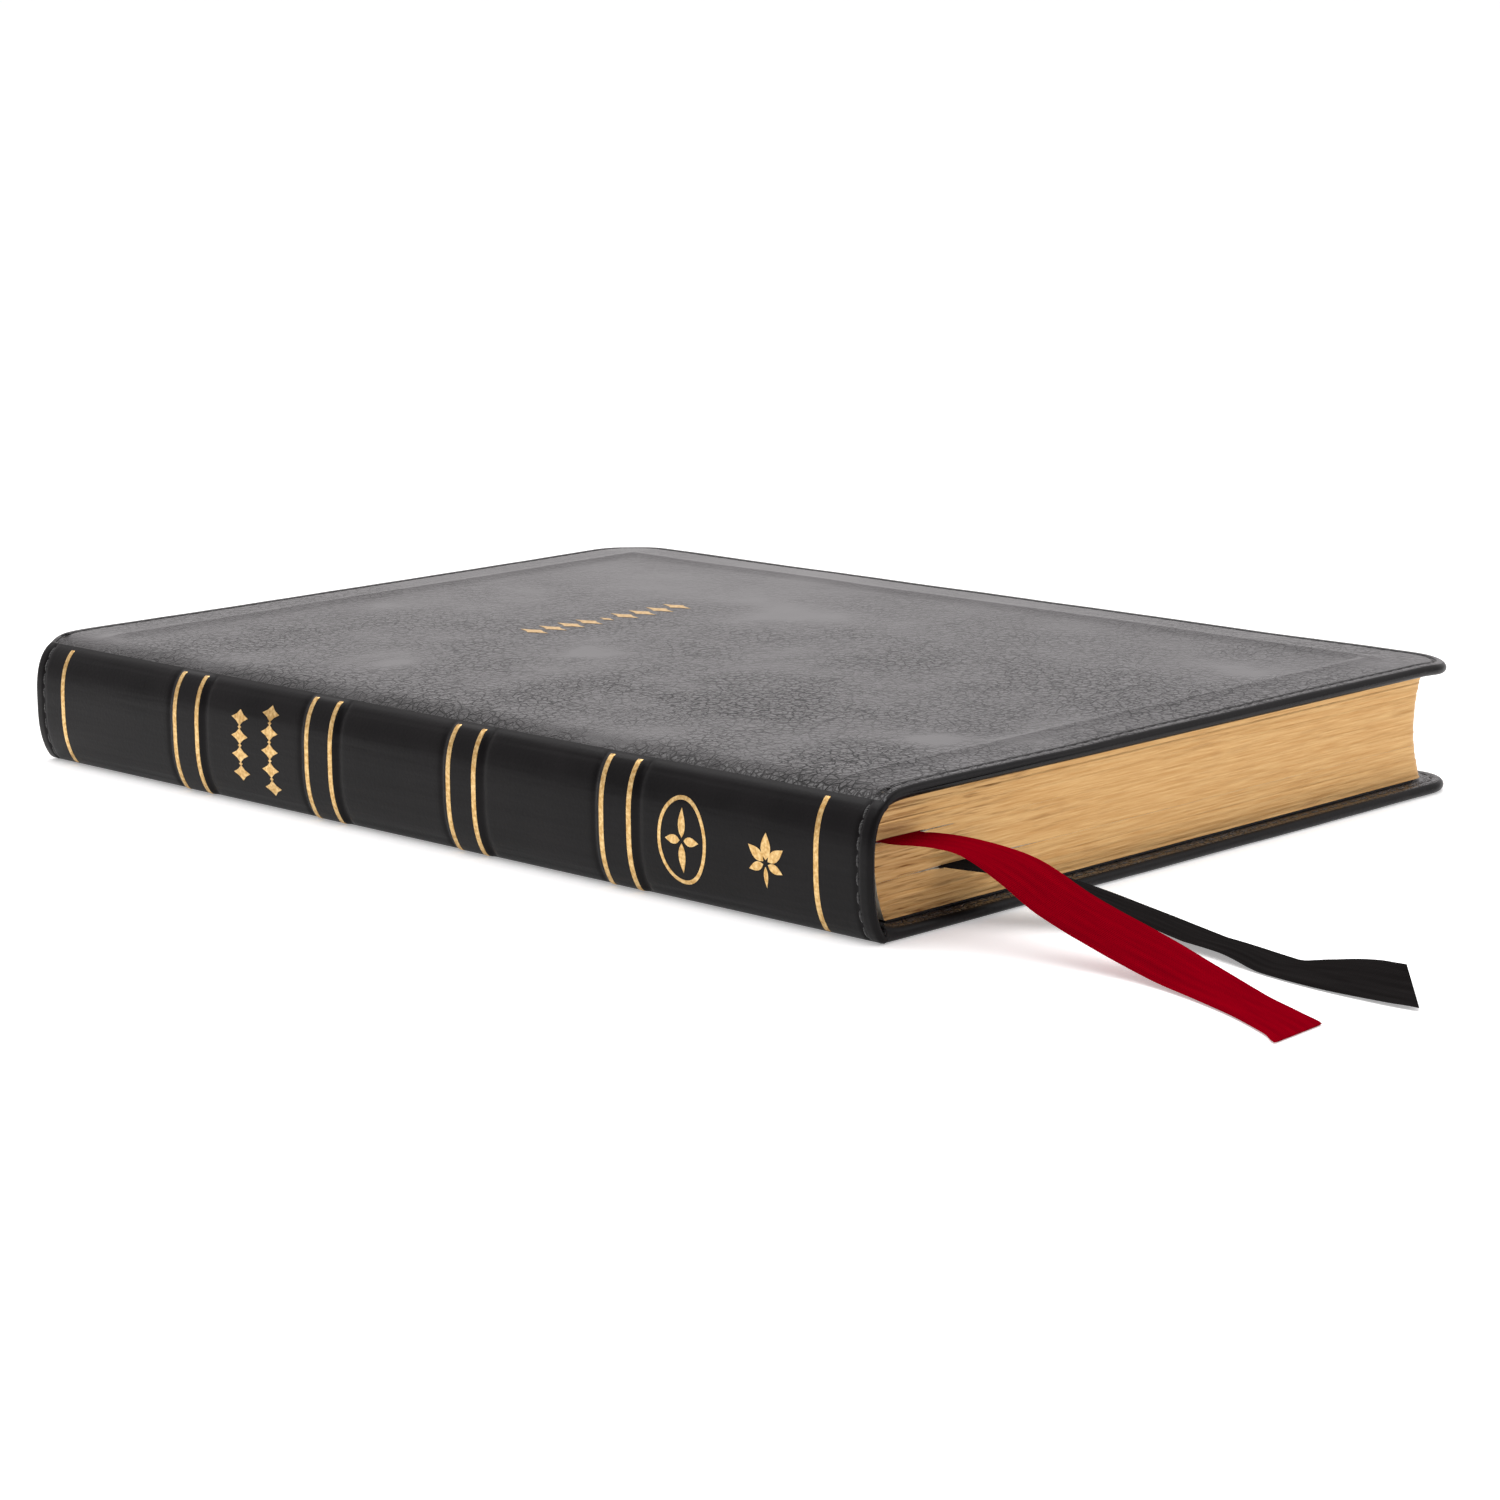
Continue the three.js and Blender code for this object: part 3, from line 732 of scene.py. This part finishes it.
def cover_shell(name, low, most, fall):
    """A cover lying with its outer face up, turned over afterwards for the back. most is how
    far the outer face may stand above its flat, low whether its edges hang, and fall how far
    it drops to the spine."""
    def half_thickness(x, y):
        return (COVER + (SHOULDER_FOLD * folded_in(y) - fall) * shoulder(x)) / 2

    def outer(column, row):
        x, y = COVER_X[column], COVER_Y[row]
        edge = from_edge(x, y)
        x, y = round_corners(x, y)
        height = np.minimum(cover_face(x, y, edge), most)
        height -= seam_dip(edge) + low * droop(x, y, edge) + fall * shoulder(x)
        height -= bead_drop(edge) * half_thickness(x, y)
        return np.stack([x, y, THICK + height], axis=1)

    def inner(column, row):
        x, y = COVER_X[column], COVER_Y[row]
        edge = from_edge(x, y)
        pocket = (edge > TURN_IN - 0.05) & (x > WRAP + HINGE_GAP + 0.05)
        x, y = round_corners(x, y)
        lip = -COVER + 0.6 * seam_dip(edge) - SHOULDER_FOLD * shoulder(x) * folded_in(y)
        lip += bead_drop(edge) * half_thickness(x, y)
        height = np.where(pocket, -LEATHER, lip)
        height -= low * droop(x, y, edge)
        return np.stack([x, y, THICK + height], axis=1)

    return wrap(name, len(COVER_X) - 1, len(COVER_Y) - 1, outer, inner)


front_leather = cover_shell("front_cover_leather", 1.0, 1.0, SHOULDER_DROP)
back_upright = cover_shell("back_cover_upright", 0.0, 0.0, 0.05)
back_leather = turn_over(back_upright, "back_cover_leather", MIDDLE)
bpy.data.objects.remove(back_upright)
STRETCHED_Z, STRETCHED_Y = 0.93, 0.37  # parts of the normal where the folded edge begins
for piece in (front_leather, back_leather):
    finish_with(piece, cover_leather, shaded_turn_in_leather, spine_leather)
    # the folded edge is stretched, so its grain is pulled out; it takes the spine's leather,
    # painted blacker as shade
    for polygon in piece.data.polygons:
        x = (polygon.center.x - HINGE_X) / MM
        at_an_end = abs(polygon.normal.y) > STRETCHED_Y
        if abs(polygon.normal.z) < STRETCHED_Z and (at_an_end or x > HINGE_STOPS[-1]):
            polygon.material_index = 2


# Stitches: one is modelled, and copied along the seam on both faces of a cover
STITCH_LENGTH = 2.75
STITCH_WIDTH = 0.62
STITCH_SIDES, STITCH_RINGS = 8, 7


def one_stitch():
    deselect()
    bpy.ops.mesh.primitive_uv_sphere_add(segments=STITCH_SIDES, ring_count=STITCH_RINGS, radius=1)
    stitch = bpy.context.object
    points = coordinates(stitch)
    lengthwise = points[:, 2]
    plump = np.sqrt(np.clip(1 - lengthwise ** 2, 0, 1)) ** 0.5
    ring = np.sqrt(np.clip(1 - lengthwise ** 2, 1e-9, 1))
    across = points[:, 0] / ring * plump
    up = points[:, 1] / ring * plump
    shaped = np.stack([
        lengthwise * STITCH_LENGTH / 2,
        across * STITCH_WIDTH / 2,
        up * STITCH_WIDTH * 0.36 - 0.26 * lengthwise ** 2,
    ], axis=1)
    put(stitch, shaped * MM)
    smooth(stitch, 80)
    return stitch


def sew(name, places):
    """Copies of the stitch at each place, pointing its way, with its top to the given side."""
    model = one_stitch()
    made = []
    for where, way, top in places:
        copy = model.copy()
        copy.data = model.data.copy()
        bpy.context.scene.collection.objects.link(copy)
        way, top = Vector(way).normalized(), Vector(top).normalized()
        side = top.cross(way)
        turn = Matrix((way, side, top)).transposed().to_4x4()
        copy.data.transform(Matrix.Translation(place(*where)) @ turn)
        made.append(copy)
    bpy.data.objects.remove(model)
    activate(made[0], *made[1:])
    bpy.ops.object.join()
    thread = bpy.context.object
    thread.name = thread.data.name = name
    finish_with(thread, black_thread)
    return thread


def seam_line():
    """Places and directions along the tail, fore and head edges of a cover."""
    radius = CORNER - STITCH_INSET
    straight = WIDTH - CORNER - 1.2
    quarter = radius * math.pi / 2
    total = 2 * straight + 2 * quarter + HEIGHT - 2 * CORNER
    count = round(total / STITCH_PITCH)
    found = []
    for k in range(count):
        run = (k + 0.5) * total / count
        head_half = run > total / 2  # which mirrors the tail's half
        run = min(run, total - run)
        turn = (run - straight) / radius
        if run < straight:
            x, y, way_x, way_y = 1.2 + run, STITCH_INSET, 1, 0
        elif run < straight + quarter:
            x, y = WIDTH - CORNER + radius * math.sin(turn), CORNER - radius * math.cos(turn)
            way_x, way_y = math.cos(turn), math.sin(turn)
        else:
            x, y, way_x, way_y = WIDTH - STITCH_INSET, CORNER + run - straight - quarter, 0, 1
        found.append((x, HEIGHT - y, -way_x, way_y) if head_half else (x, y, way_x, way_y))
    return found


STITCH_DEPTH = 0.24       # from the flat down to the stitch's middle
INNER_STITCH_DEPTH = 0.14
front_seam, back_seam = [], []
for x, y, way_x, way_y in seam_line():
    spot = [np.array([x]), np.array([y]), np.array([STITCH_INSET])]
    lift = float((cover_face(*spot) - droop(*spot))[0])
    hang = float(droop(*spot)[0])
    way = (way_x, way_y, 0)
    front_seam.append(((x, y, THICK + lift - STITCH_DEPTH), way, (0, 0, 1)))
    front_seam.append(((x, y, THICK - COVER - hang + INNER_STITCH_DEPTH), way, (0, 0, -1)))
    back_seam.append(((x, y, STITCH_DEPTH), way, (0, 0, -1)))
    back_seam.append(((x, y, COVER - INNER_STITCH_DEPTH), way, (0, 0, 1)))
front_stitches = sew("front_cover_stitches", front_seam)
back_stitches = sew("back_cover_stitches", back_seam)
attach(front_stitches, "front_cover")
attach(back_stitches, "back_cover")
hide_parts("front_cover_stitching")
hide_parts("back_cover_stitching")


# Spine. Each section goes from the middle of its height round the corner to the seam with the
# cover: x, which is negative outside the hinge line, and the height above or below the middle
UPPER_SECTION = ((-3.9, 0), (-3.86, 2.5), (-3.6, 5.0), (-3.0, 7.4), (-2.05, 9.3), (-0.95, 10.6),
                 (SEAM_X, 11.4))
LOWER_SECTION = ((-3.9, 0), (-3.87, 3.0), (-3.68, 5.5), (-3.3, 7.7), (-2.7, 9.7), (-1.9, 11.4),
                 (-0.9, 12.7), (SEAM_X, 13.2))
SPINE_CELL = 0.45
BANDS = tuple(
    (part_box(f"raised_band_{k}")[0].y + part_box(f"raised_band_{k}")[1].y) / 2 / MM - TAIL_Y / MM
    for k in (1, 2, 3, 4)
)
BAND_HALF = 4.5
BAND_RISE = 0.42
SPINE_SEAM = 3.0      # from each end to the stitches


def section_table(corners):
    """The section's length, and evenly spaced places along it: share, x, rise and normal."""
    x, rise = through(corners, 60).T
    length = np.concatenate([[0], np.cumsum(np.hypot(np.diff(x), np.diff(rise)))])
    even = np.linspace(0, length[-1], 400)
    x, rise = np.interp(even, length, x), np.interp(even, length, rise)
    along_x, along_rise = np.gradient(x), np.gradient(rise)
    size = np.hypot(along_x, along_rise)
    normal_x, normal_rise = -along_rise / size, along_x / size
    normal_x[0], normal_rise[0] = -1, 0
    return {"girth": length[-1], "share": even / length[-1], "x": x, "rise": rise,
            "normal_x": normal_x, "normal_rise": normal_rise}


UPPER, LOWER = section_table(UPPER_SECTION), section_table(LOWER_SECTION)


def spine_relief(y, share):
    """Bands, creases and pulls of the spine's leather, out from its plain section."""
    height = np.abs(share)
    fade = 1 - ease(height, 0.86, 0.99)
    out = np.zeros_like(y)
    on_band = np.zeros_like(y)
    for centre in BANDS:
        off = np.abs(y - centre)
        out += BAND_RISE * (1 - ease(off, BAND_HALF - 0.5, BAND_HALF + 0.7))
        out -= 0.20 * hump(off, BAND_HALF + 1.2, 0.55)
        on_band = np.maximum(on_band, 1 - ease(off, BAND_HALF, BAND_HALF + 2))
    panel = (1 - on_band) * ease(y, 8, 14) * (1 - ease(y, HEIGHT - 14, HEIGHT - 8))
    out -= 0.07 * hump(height, 0.79, 0.022) * panel / np.maximum(fade, 0.2)
    out += 0.07 * ripple(y, 15 * share, 17.0, 5.0)
    out -= 0.26 * hump(np.minimum(y, HEIGHT - y), SPINE_SEAM, 0.45) / np.maximum(fade, 0.4)
    return out * fade


def spine_point(y, share, out):
    """A point of the spine: share is -1 at the bottom seam, 0 midway and 1 at the top seam."""
    height = np.abs(share)
    x, rise, normal_x, normal_rise = (
        np.where(share < 0, np.interp(height, LOWER["share"], LOWER[key]),
                 np.interp(height, UPPER["share"], UPPER[key]))
        for key in ("x", "rise", "normal_x", "normal_rise")
    )
    side = np.where(share < 0, -1.0, 1.0)
    return np.stack([
        x + normal_x * out, y, MIDDLE + side * (rise + normal_rise * out),
    ], axis=1)


def share_at(z):
    """The share of the section at which the plain spine is z high."""
    rise = np.abs(z - MIDDLE)
    return np.where(z < MIDDLE, -np.interp(rise, LOWER["rise"], LOWER["share"]),
                    np.interp(rise, UPPER["rise"], UPPER["share"]))


END_STOPS = (0.0, 0.05, 0.15, 0.32, 0.55, 0.85, 1.2, 1.6, 2.0, 2.3, 2.6, 2.8, 3.0, 3.2, 3.4, 3.7,
             4.1, 4.6, 5.4)
BAND_STOPS = (0.0, 2.0, 3.2, 3.8, 4.2, 4.5, 4.8, 5.1, 5.4, 5.7, 6.0, 6.4, 7.0, 8.0)
stops = {round(v, 3) for v in END_STOPS} | {round(HEIGHT - v, 3) for v in END_STOPS}
for centre in BANDS:
    stops |= {round(centre + side * v, 3) for v in BAND_STOPS for side in (-1, 1)}
SPINE_Y = spread(tuple(sorted(stops)), COVER_CELL)
SPINE_COLUMNS = round(LOWER["girth"] / SPINE_CELL)
FOLD = 1.7            # leather folded in at the head and the tail


def spine_half(name, side):
    def thickness(y, share):
        ends = np.minimum(y, HEIGHT - y)
        folded = 1 - ease(ends, 3.5, 4.1)
        toward_cover = ease(np.abs(share), 0.80, 1.0)
        plain = LEATHER - 0.3 * toward_cover
        return plain + (FOLD - plain) * folded

    def rounding(y, thick):
        near = np.clip(1 - np.minimum(y, HEIGHT - y) / (FOLD / 2), 0, 1)
        return thick / 2 * (1 - np.sqrt(1 - near ** 2))

    def outer(column, row):
        y, share = SPINE_Y[row], side * column / SPINE_COLUMNS
        thick = thickness(y, share)
        return spine_point(y, share, spine_relief(y, share) - rounding(y, thick))

    def inner(column, row):
        y, share = SPINE_Y[row], side * column / SPINE_COLUMNS
        thick = thickness(y, share)
        return spine_point(y, share, spine_relief(y, share) - thick + rounding(y, thick))

    half = wrap(name, SPINE_COLUMNS, len(SPINE_Y) - 1, outer, inner, 60)
    finish_with(half, spine_leather, shaded_turn_in_leather)
    return half


spine_upper = spine_half("spine_leather_upper", 1)
spine_lower = spine_half("spine_leather_lower", -1)

spine_seam = []
count = round(1.84 * LOWER["girth"] / STITCH_PITCH)
for end in (SPINE_SEAM, HEIGHT - SPINE_SEAM):
    for k in range(count):
        share = 0.92 * (2 * (k + 0.5) / count - 1)
        ends = np.array([end, end, end])
        shares = np.array([share - 0.01, share, share + 0.01])
        before, here, after = spine_point(ends, shares, spine_relief(ends, shares) + 0.02)
        way = after - before
        top = (-way[2], 0, way[0])
        if top[0] > 0:
            top = (-top[0], 0, -top[2])
        spine_seam.append((tuple(here), tuple(way), top))
spine_stitches = sew("spine_stitches", spine_seam)
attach(spine_stitches, "spine")
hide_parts("spine_tail_stitching", "spine_head_stitching")


# Gold on the spine: a rule near each end and at both sides of each raised band, and between them
# generic ornaments
RULE_HALF = 0.62
FOIL = 0.05           # how far foil stands proud, thicker than real so that its edge shows
FOIL_BEDDED = 0.12    # how deep its back lies in the leather
RULES = (12.4, BANDS[3] + 41.4) + tuple(c + side * 3.5 for c in BANDS for side in (-1, 1))
RULE_ROWS = 64
RULE_RIM = -0.06      # the rules' rim, just under the leather
RULE_LOW, RULE_HIGH = share_at(0.35), share_at(THICK - 2.35)


def on_spine(y, z, lift):
    y, z = np.asarray(y, float), np.asarray(z, float)
    share = share_at(z)
    return spine_point(y, share, spine_relief(y, share) + lift)


def rule(name, middle):
    def surface(lift):
        def laid(column, row):
            y = middle + RULE_HALF * np.array([-1, -0.86, 0.86, 1])[column]
            share = RULE_LOW + (RULE_HIGH - RULE_LOW) * row / RULE_ROWS
            rim = (column % 3 == 0) | (row % RULE_ROWS == 0)
            return spine_point(y, share, spine_relief(y, share) + np.where(rim, RULE_RIM, lift))
        return laid
    return wrap(name, 3, RULE_ROWS, surface(FOIL), surface(-FOIL_BEDDED))


def stamp(outline, onto):
    """A patch of foil with this outline, laid by onto(u, v, lift)."""
    deselect()
    outline = np.asarray(outline, float)
    bpy.ops.mesh.primitive_circle_add(vertices=len(outline), radius=1, fill_type="NGON")
    patch = bpy.context.object
    raised, bedded = (at(onto(*outline.T, lift)) for lift in (FOIL, -FOIL_BEDDED))
    put(patch, raised)
    edit(patch, bpy.ops.mesh.extrude_region_move)
    chosen = np.array([v.select for v in patch.data.vertices])
    points = coordinates(patch)
    for k in np.flatnonzero(chosen):
        points[k] = bedded[int(np.argmin(((raised - points[k]) ** 2).sum(1)))]
    put(patch, points)
    close_up(patch)
    return patch


def lozenge(u, v, half_u, half_v, waist):
    """A lozenge with hollow sides."""
    tips = [(1, 0), (waist, waist), (0, 1), (-waist, waist), (-1, 0), (-waist, -waist), (0, -1),
            (waist, -waist)]
    return [(u + a * half_u, v + b * half_v) for a, b in tips]


def leaf(u, v, length, half, turn):
    """A pointed leaf that starts at u, v and grows in the direction turn."""
    found = []
    for side in (1, -1):
        shares = np.linspace(0, 1, 8)[:-1]
        shares = shares if side == 1 else 1 - shares
        for share in shares:
            wide = side * half * math.sin(math.pi * share ** 0.8)
            found.append((
                u + share * length * math.cos(turn) - wide * math.sin(turn),
                v + share * length * math.sin(turn) + wide * math.cos(turn),
            ))
    return found


def ring(u, v, half_u, half_v, width, onto, name):
    count = 48

    def surface(lift):
        def laid(column, row):
            turn = 2 * math.pi * row / count
            grow = np.where(column > 1, 0.0, -width)
            rise = np.where((column == 1) | (column == 2), lift, -FOIL_BEDDED)
            return onto(u + (half_u + grow) * np.cos(turn), v + (half_v + grow) * np.sin(turn),
                        rise)
        return laid
    return wrap(name, 3, count, surface(FOIL), surface(-FOIL_BEDDED))


def gather(name, patches, body):
    activate(patches[0], *patches[1:])
    bpy.ops.object.join()
    whole = bpy.context.object
    whole.name = whole.data.name = name
    finish_with(whole, gold_foil)
    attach(whole, body)
    return whole


rules = [rule(f"rule_{k}", middle) for k, middle in enumerate(RULES)]
gather("spine_rules", rules, "spine")

LOZENGE_PITCH = 3.7
LOZENGES_MIDDLE = MIDDLE - 0.9
ornaments = []
for row_y, places in ((167.4, 4), (158.2, 5)):
    for k in range(places):
        z = LOZENGES_MIDDLE + (k - (places - 1) / 2) * LOZENGE_PITCH
        ornaments.append(stamp(lozenge(row_y, z, 2.5, 1.6, 0.42), on_spine))
        if k < places - 1:
            between = z + LOZENGE_PITCH / 2
            ornaments.append(stamp(lozenge(row_y, between, 0.55, 0.4, 0.5), on_spine))
MEDAL_Y, MEDAL_Z = 44.6, 11.9
ornaments.append(ring(MEDAL_Y, MEDAL_Z, 6.0, 8.0, 0.75, on_spine, "medal_rim"))
for turn in range(4):
    ornaments.append(stamp(leaf(
        MEDAL_Y + 0.5 * math.cos(turn * math.pi / 2), MEDAL_Z + 0.5 * math.sin(turn * math.pi / 2),
        (3.6, 5.4)[turn % 2], 0.85, turn * math.pi / 2,
    ), on_spine))
LEAF_Y, LEAF_Z = 24.2, 11.0
for turn, length, half in ((90, 4.8, 1.15), (35, 4.4, 1.0), (145, 4.4, 1.0), (-20, 3.6, 0.8),
                           (200, 3.6, 0.8), (-90, 3.8, 0.5)):
    direction = math.radians(turn)
    ornaments.append(stamp(leaf(
        LEAF_Y + 0.6 * math.cos(direction), LEAF_Z + 0.6 * math.sin(direction), length, half,
        direction,
    ), on_spine))
gather("spine_ornaments", ornaments, "spine")


def on_cover(x, y, lift):
    x, y = np.asarray(x, float), np.asarray(y, float)
    return np.stack([x, y, THICK + cover_face(x, y, from_edge(x, y)) + lift], axis=1)


TITLE_X, TITLE_Y = 90.0, 161.0
TITLE_PITCH = 5.2
title = []
for k in range(-4, 5):
    half = (1.9, 4.2) if k else (1.0, 2.2)
    title.append(stamp(lozenge(TITLE_X + k * TITLE_PITCH, TITLE_Y, *half, 0.42), on_cover))
gather("cover_ornaments", title, "front_cover")


# Text block: three packs of pages, parted by the two ribbons
BLOCK_ROUND = 2.5
BLOCK_BACK = 1.6
PAGE_CORNER = 4.0
SHEET_ROW = 0.3
SHEET_SCATTER, SHEET_MOST = 0.035, 0.09  # how far single rows of sheets stick out
FOLDS_IN = 0.3        # the sections' folds are drawn this far in from the block's back
TAIL_CELLS, ARC_CELLS, FORE_CELLS, HEAD_CELLS, BACK_CELLS = 110, 8, 60, 60, 20
GIRTH_CELLS = TAIL_CELLS + 2 * ARC_CELLS + FORE_CELLS + HEAD_CELLS + BACK_CELLS


def rounded(z):
    return BLOCK_ROUND * ((z - MIDDLE) / ((BLOCK_HIGH - BLOCK_LOW) / 2)) ** 2


def girth(cell, z):
    """A point of the block's edge and the way out from it, for a cell round the edge."""
    back = BLOCK_BACK + rounded(z)
    fore = BLOCK_FORE - BLOCK_ROUND + rounded(z)
    stops = np.cumsum([0, TAIL_CELLS, ARC_CELLS, FORE_CELLS, ARC_CELLS, HEAD_CELLS, BACK_CELLS])
    part = np.clip(np.searchsorted(stops, cell, side="right") - 1, 0, 5)
    share = (cell - stops[part]) / np.diff(stops)[part]
    x, y = np.zeros_like(z), np.zeros_like(z)
    out_x, out_y = np.zeros_like(z), np.zeros_like(z)
    turn = share * math.pi / 2
    low, high = BLOCK_TAIL + PAGE_CORNER, BLOCK_HEAD - PAGE_CORNER
    corner = fore - PAGE_CORNER
    for k, (new_x, new_y, new_out_x, new_out_y) in enumerate((
        (back + (corner - back) * share, BLOCK_TAIL, 0, -1),
        (corner + PAGE_CORNER * np.sin(turn), low - PAGE_CORNER * np.cos(turn),
         np.sin(turn), -np.cos(turn)),
        (fore, low + (high - low) * share, 1, 0),
        (corner + PAGE_CORNER * np.cos(turn), high + PAGE_CORNER * np.sin(turn),
         np.cos(turn), np.sin(turn)),
        (corner + (back - corner) * share, BLOCK_HEAD, 0, 1),
        (back, BLOCK_HEAD + (BLOCK_TAIL - BLOCK_HEAD) * share, -1, 0),
    )):
        here = part == k
        x = np.where(here, new_x, x)
        y = np.where(here, new_y, y)
        out_x = np.where(here, new_out_x, out_x)
        out_y = np.where(here, new_out_y, out_y)
    return x, y, out_x, out_y


PARTED_BY, PARTED_OVER = 0.30, 1.3  # how far a ribbon lifts the pages, and over what height


def parted(x, y, exit_x):
    """How far a ribbon holds the pages apart where it comes out at the tail."""
    return PARTED_BY * (1 - ease(np.abs(x - exit_x), 4.6, 9.0)) * (y < BLOCK_TAIL + 0.5)


def page_pack(name, low, high, ribbon_below=None, ribbon_above=None):
    rows = max(8, round((high - low) / SHEET_ROW))
    heights = np.linspace(low, high, rows + 1)
    dice = np.random.default_rng(int(low * 100))
    sheet_out = dice.normal(0, SHEET_SCATTER, rows + 1)

    def edge(cell, row):
        z = heights[row]
        cell = cell % GIRTH_CELLS
        x, y, out_x, out_y = girth(cell, z)
        out = sheet_out[row] + 0.05 * ripple(x * 0.6 + y * 0.6, z * 9, 12.0, low)
        out = np.where(out_x < -0.5, -FOLDS_IN, np.minimum(out, SHEET_MOST))
        lift = np.zeros_like(z)
        if ribbon_below:
            lift += parted(x, y, ribbon_below) * np.exp(-(z - low) / PARTED_OVER)
        if ribbon_above:
            lift -= parted(x, y, ribbon_above) * np.exp(-(high - z) / PARTED_OVER)
        return np.stack([x + out_x * out, y + out_y * out, z + lift], axis=1)

    pack, column, row = cut_sheet(name, GIRTH_CELLS, rows)
    put(pack, at(edge(column, row)))
    close_up(pack)
    finish_with(pack, gilt_edge, page_paper)
    for polygon in pack.data.polygons:
        flat_page = len(polygon.vertices) > 4
        fold = polygon.normal.x < -0.7  # the sections' folds at the back are not gilt
        polygon.material_index = 1 if flat_page or fold else 0
    smooth(pack, 25)
    return pack


PARTING = 0.01
PACKS = (
    ("front_page_block", RED_SLIT + PARTING, BLOCK_HIGH, RED_EXIT, None, "front_pages", 1, 5),
    ("middle_page_block", BLACK_SLIT + PARTING, RED_SLIT - PARTING, BLACK_EXIT, RED_EXIT,
     "rear_pages", 6, 10),
    ("rear_page_block", BLOCK_LOW, BLACK_SLIT - PARTING, None, BLACK_EXIT, "rear_pages", 11, 16),
)
for name, low, high, below, above, body, first, last in PACKS:
    pack = page_pack(name, low, high, below, above)
    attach(pack, body)
    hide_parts(*[f"section_{k:02d}" for k in range(first, last + 1)])


# Leather of the covers and the spine: its placing baked into its mesh, and the part's skins hidden
MIDWAY = HEIGHT / 2
place(SEAM_X, MIDWAY, THICK)
place(WRAP + HINGE_GAP, MIDWAY, THICK)
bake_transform(front_leather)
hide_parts("front_cover_skin")
place(SEAM_X, MIDWAY, 0)
place(WRAP + HINGE_GAP, MIDWAY, 0)
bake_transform(back_leather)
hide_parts("back_cover_skin")
place(-1.5, MIDWAY, THICK - 3.6)
place(SEAM_X, MIDWAY, THICK - SHOULDER_DROP)
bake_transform(spine_upper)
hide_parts("spine_skin")
place(-1.6, MIDWAY, 1.6)
place(SEAM_X, MIDWAY, 0)
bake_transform(spine_lower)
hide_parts("spine_skin")


# Finishes of the solids that stay as they are
FINISHES = {
    grey_board: ("front_cover_board", "back_cover_board", "spine_inlay", "raised_band_1",
                 "raised_band_2", "raised_band_3", "raised_band_4"),
    endpaper: ("front_pastedown", "rear_pastedown", "front_flyleaf", "rear_flyleaf"),
    mull_cloth: ("front_hinge_strip", "rear_hinge_strip", "front_mull", "rear_mull"),
    kraft_lining: ("front_spine_lining", "rear_spine_lining"),
    linen_thread: ("front_sewing_thread", "rear_sewing_thread"),
    red_pressed: ("red_ribbon_inner",),
    black_pressed: ("black_ribbon_inner",),
}
for finish, nodes in FINISHES.items():
    for name in nodes:
        finish_with(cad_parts[name], finish)


# Floor and light
def studio_floor():
    made, shader, add = start_material("floor_paper_white", Roughness=0.9,
                                       Emission_Strength=0.35, Emission_Color=(1, 1, 1, 1))
    grain = add("TexNoise", {"Vector": object_space(add), "Scale": 300.0, "Detail": 2.0})
    colour = add("Mix", {0: grain, 6: tint("#F7F7F6"), 7: tint("#FBFBFB")}, **COLOURS)
    wire(shader, {"Base Color": colour})
    deselect()
    bpy.ops.mesh.primitive_plane_add(size=90, location=(0, 0, -0.00004))
    floor = bpy.context.object
    floor.name = "studio_floor"
    finish_with(floor, made)


def soft_box(name, location, target, size, power):
    data = bpy.data.lights.new(name, "AREA")
    data.shape, data.size, data.size_y, data.energy = "RECTANGLE", size[0], size[1], power
    box = bpy.data.objects.new(name, data)
    bpy.context.scene.collection.objects.link(box)
    box.location = location
    box.rotation_euler = (Vector(location) - Vector(target)).to_track_quat("Z", "Y").to_euler()


studio_floor()
soft_box("over_soft_box", (-0.1, 0.15, 1.3), (0, 0, 0), (1.6, 1.6), 16)
soft_box("tail_soft_box", (0.55, -0.9, 0.5), (0.03, -0.1, 0.01), (0.7, 0.6), 2.5)

bpy.context.scene.view_settings.view_transform = "Standard"

world = bpy.context.scene.world or bpy.data.worlds.new("studio")
bpy.context.scene.world = world
world.use_nodes = True
sky = world.node_tree
generated = add_node(sky, "TexCoord", {}, "Generated")
toward = add_node(sky, "VectorMath", {0: generated, 1: (0.70, 0.69, 0.18)}, "Value",
                  operation="DOT_PRODUCT")
wire(sky.nodes["Background"], {
    "Color": (1, 0.965, 0.975, 1),
    "Strength": add_node(sky, "MapRange", {
        "Value": toward, "From Min": -0.6, "From Max": 0.75, "To Min": 0.30, "To Max": 1.05,
    }),
})
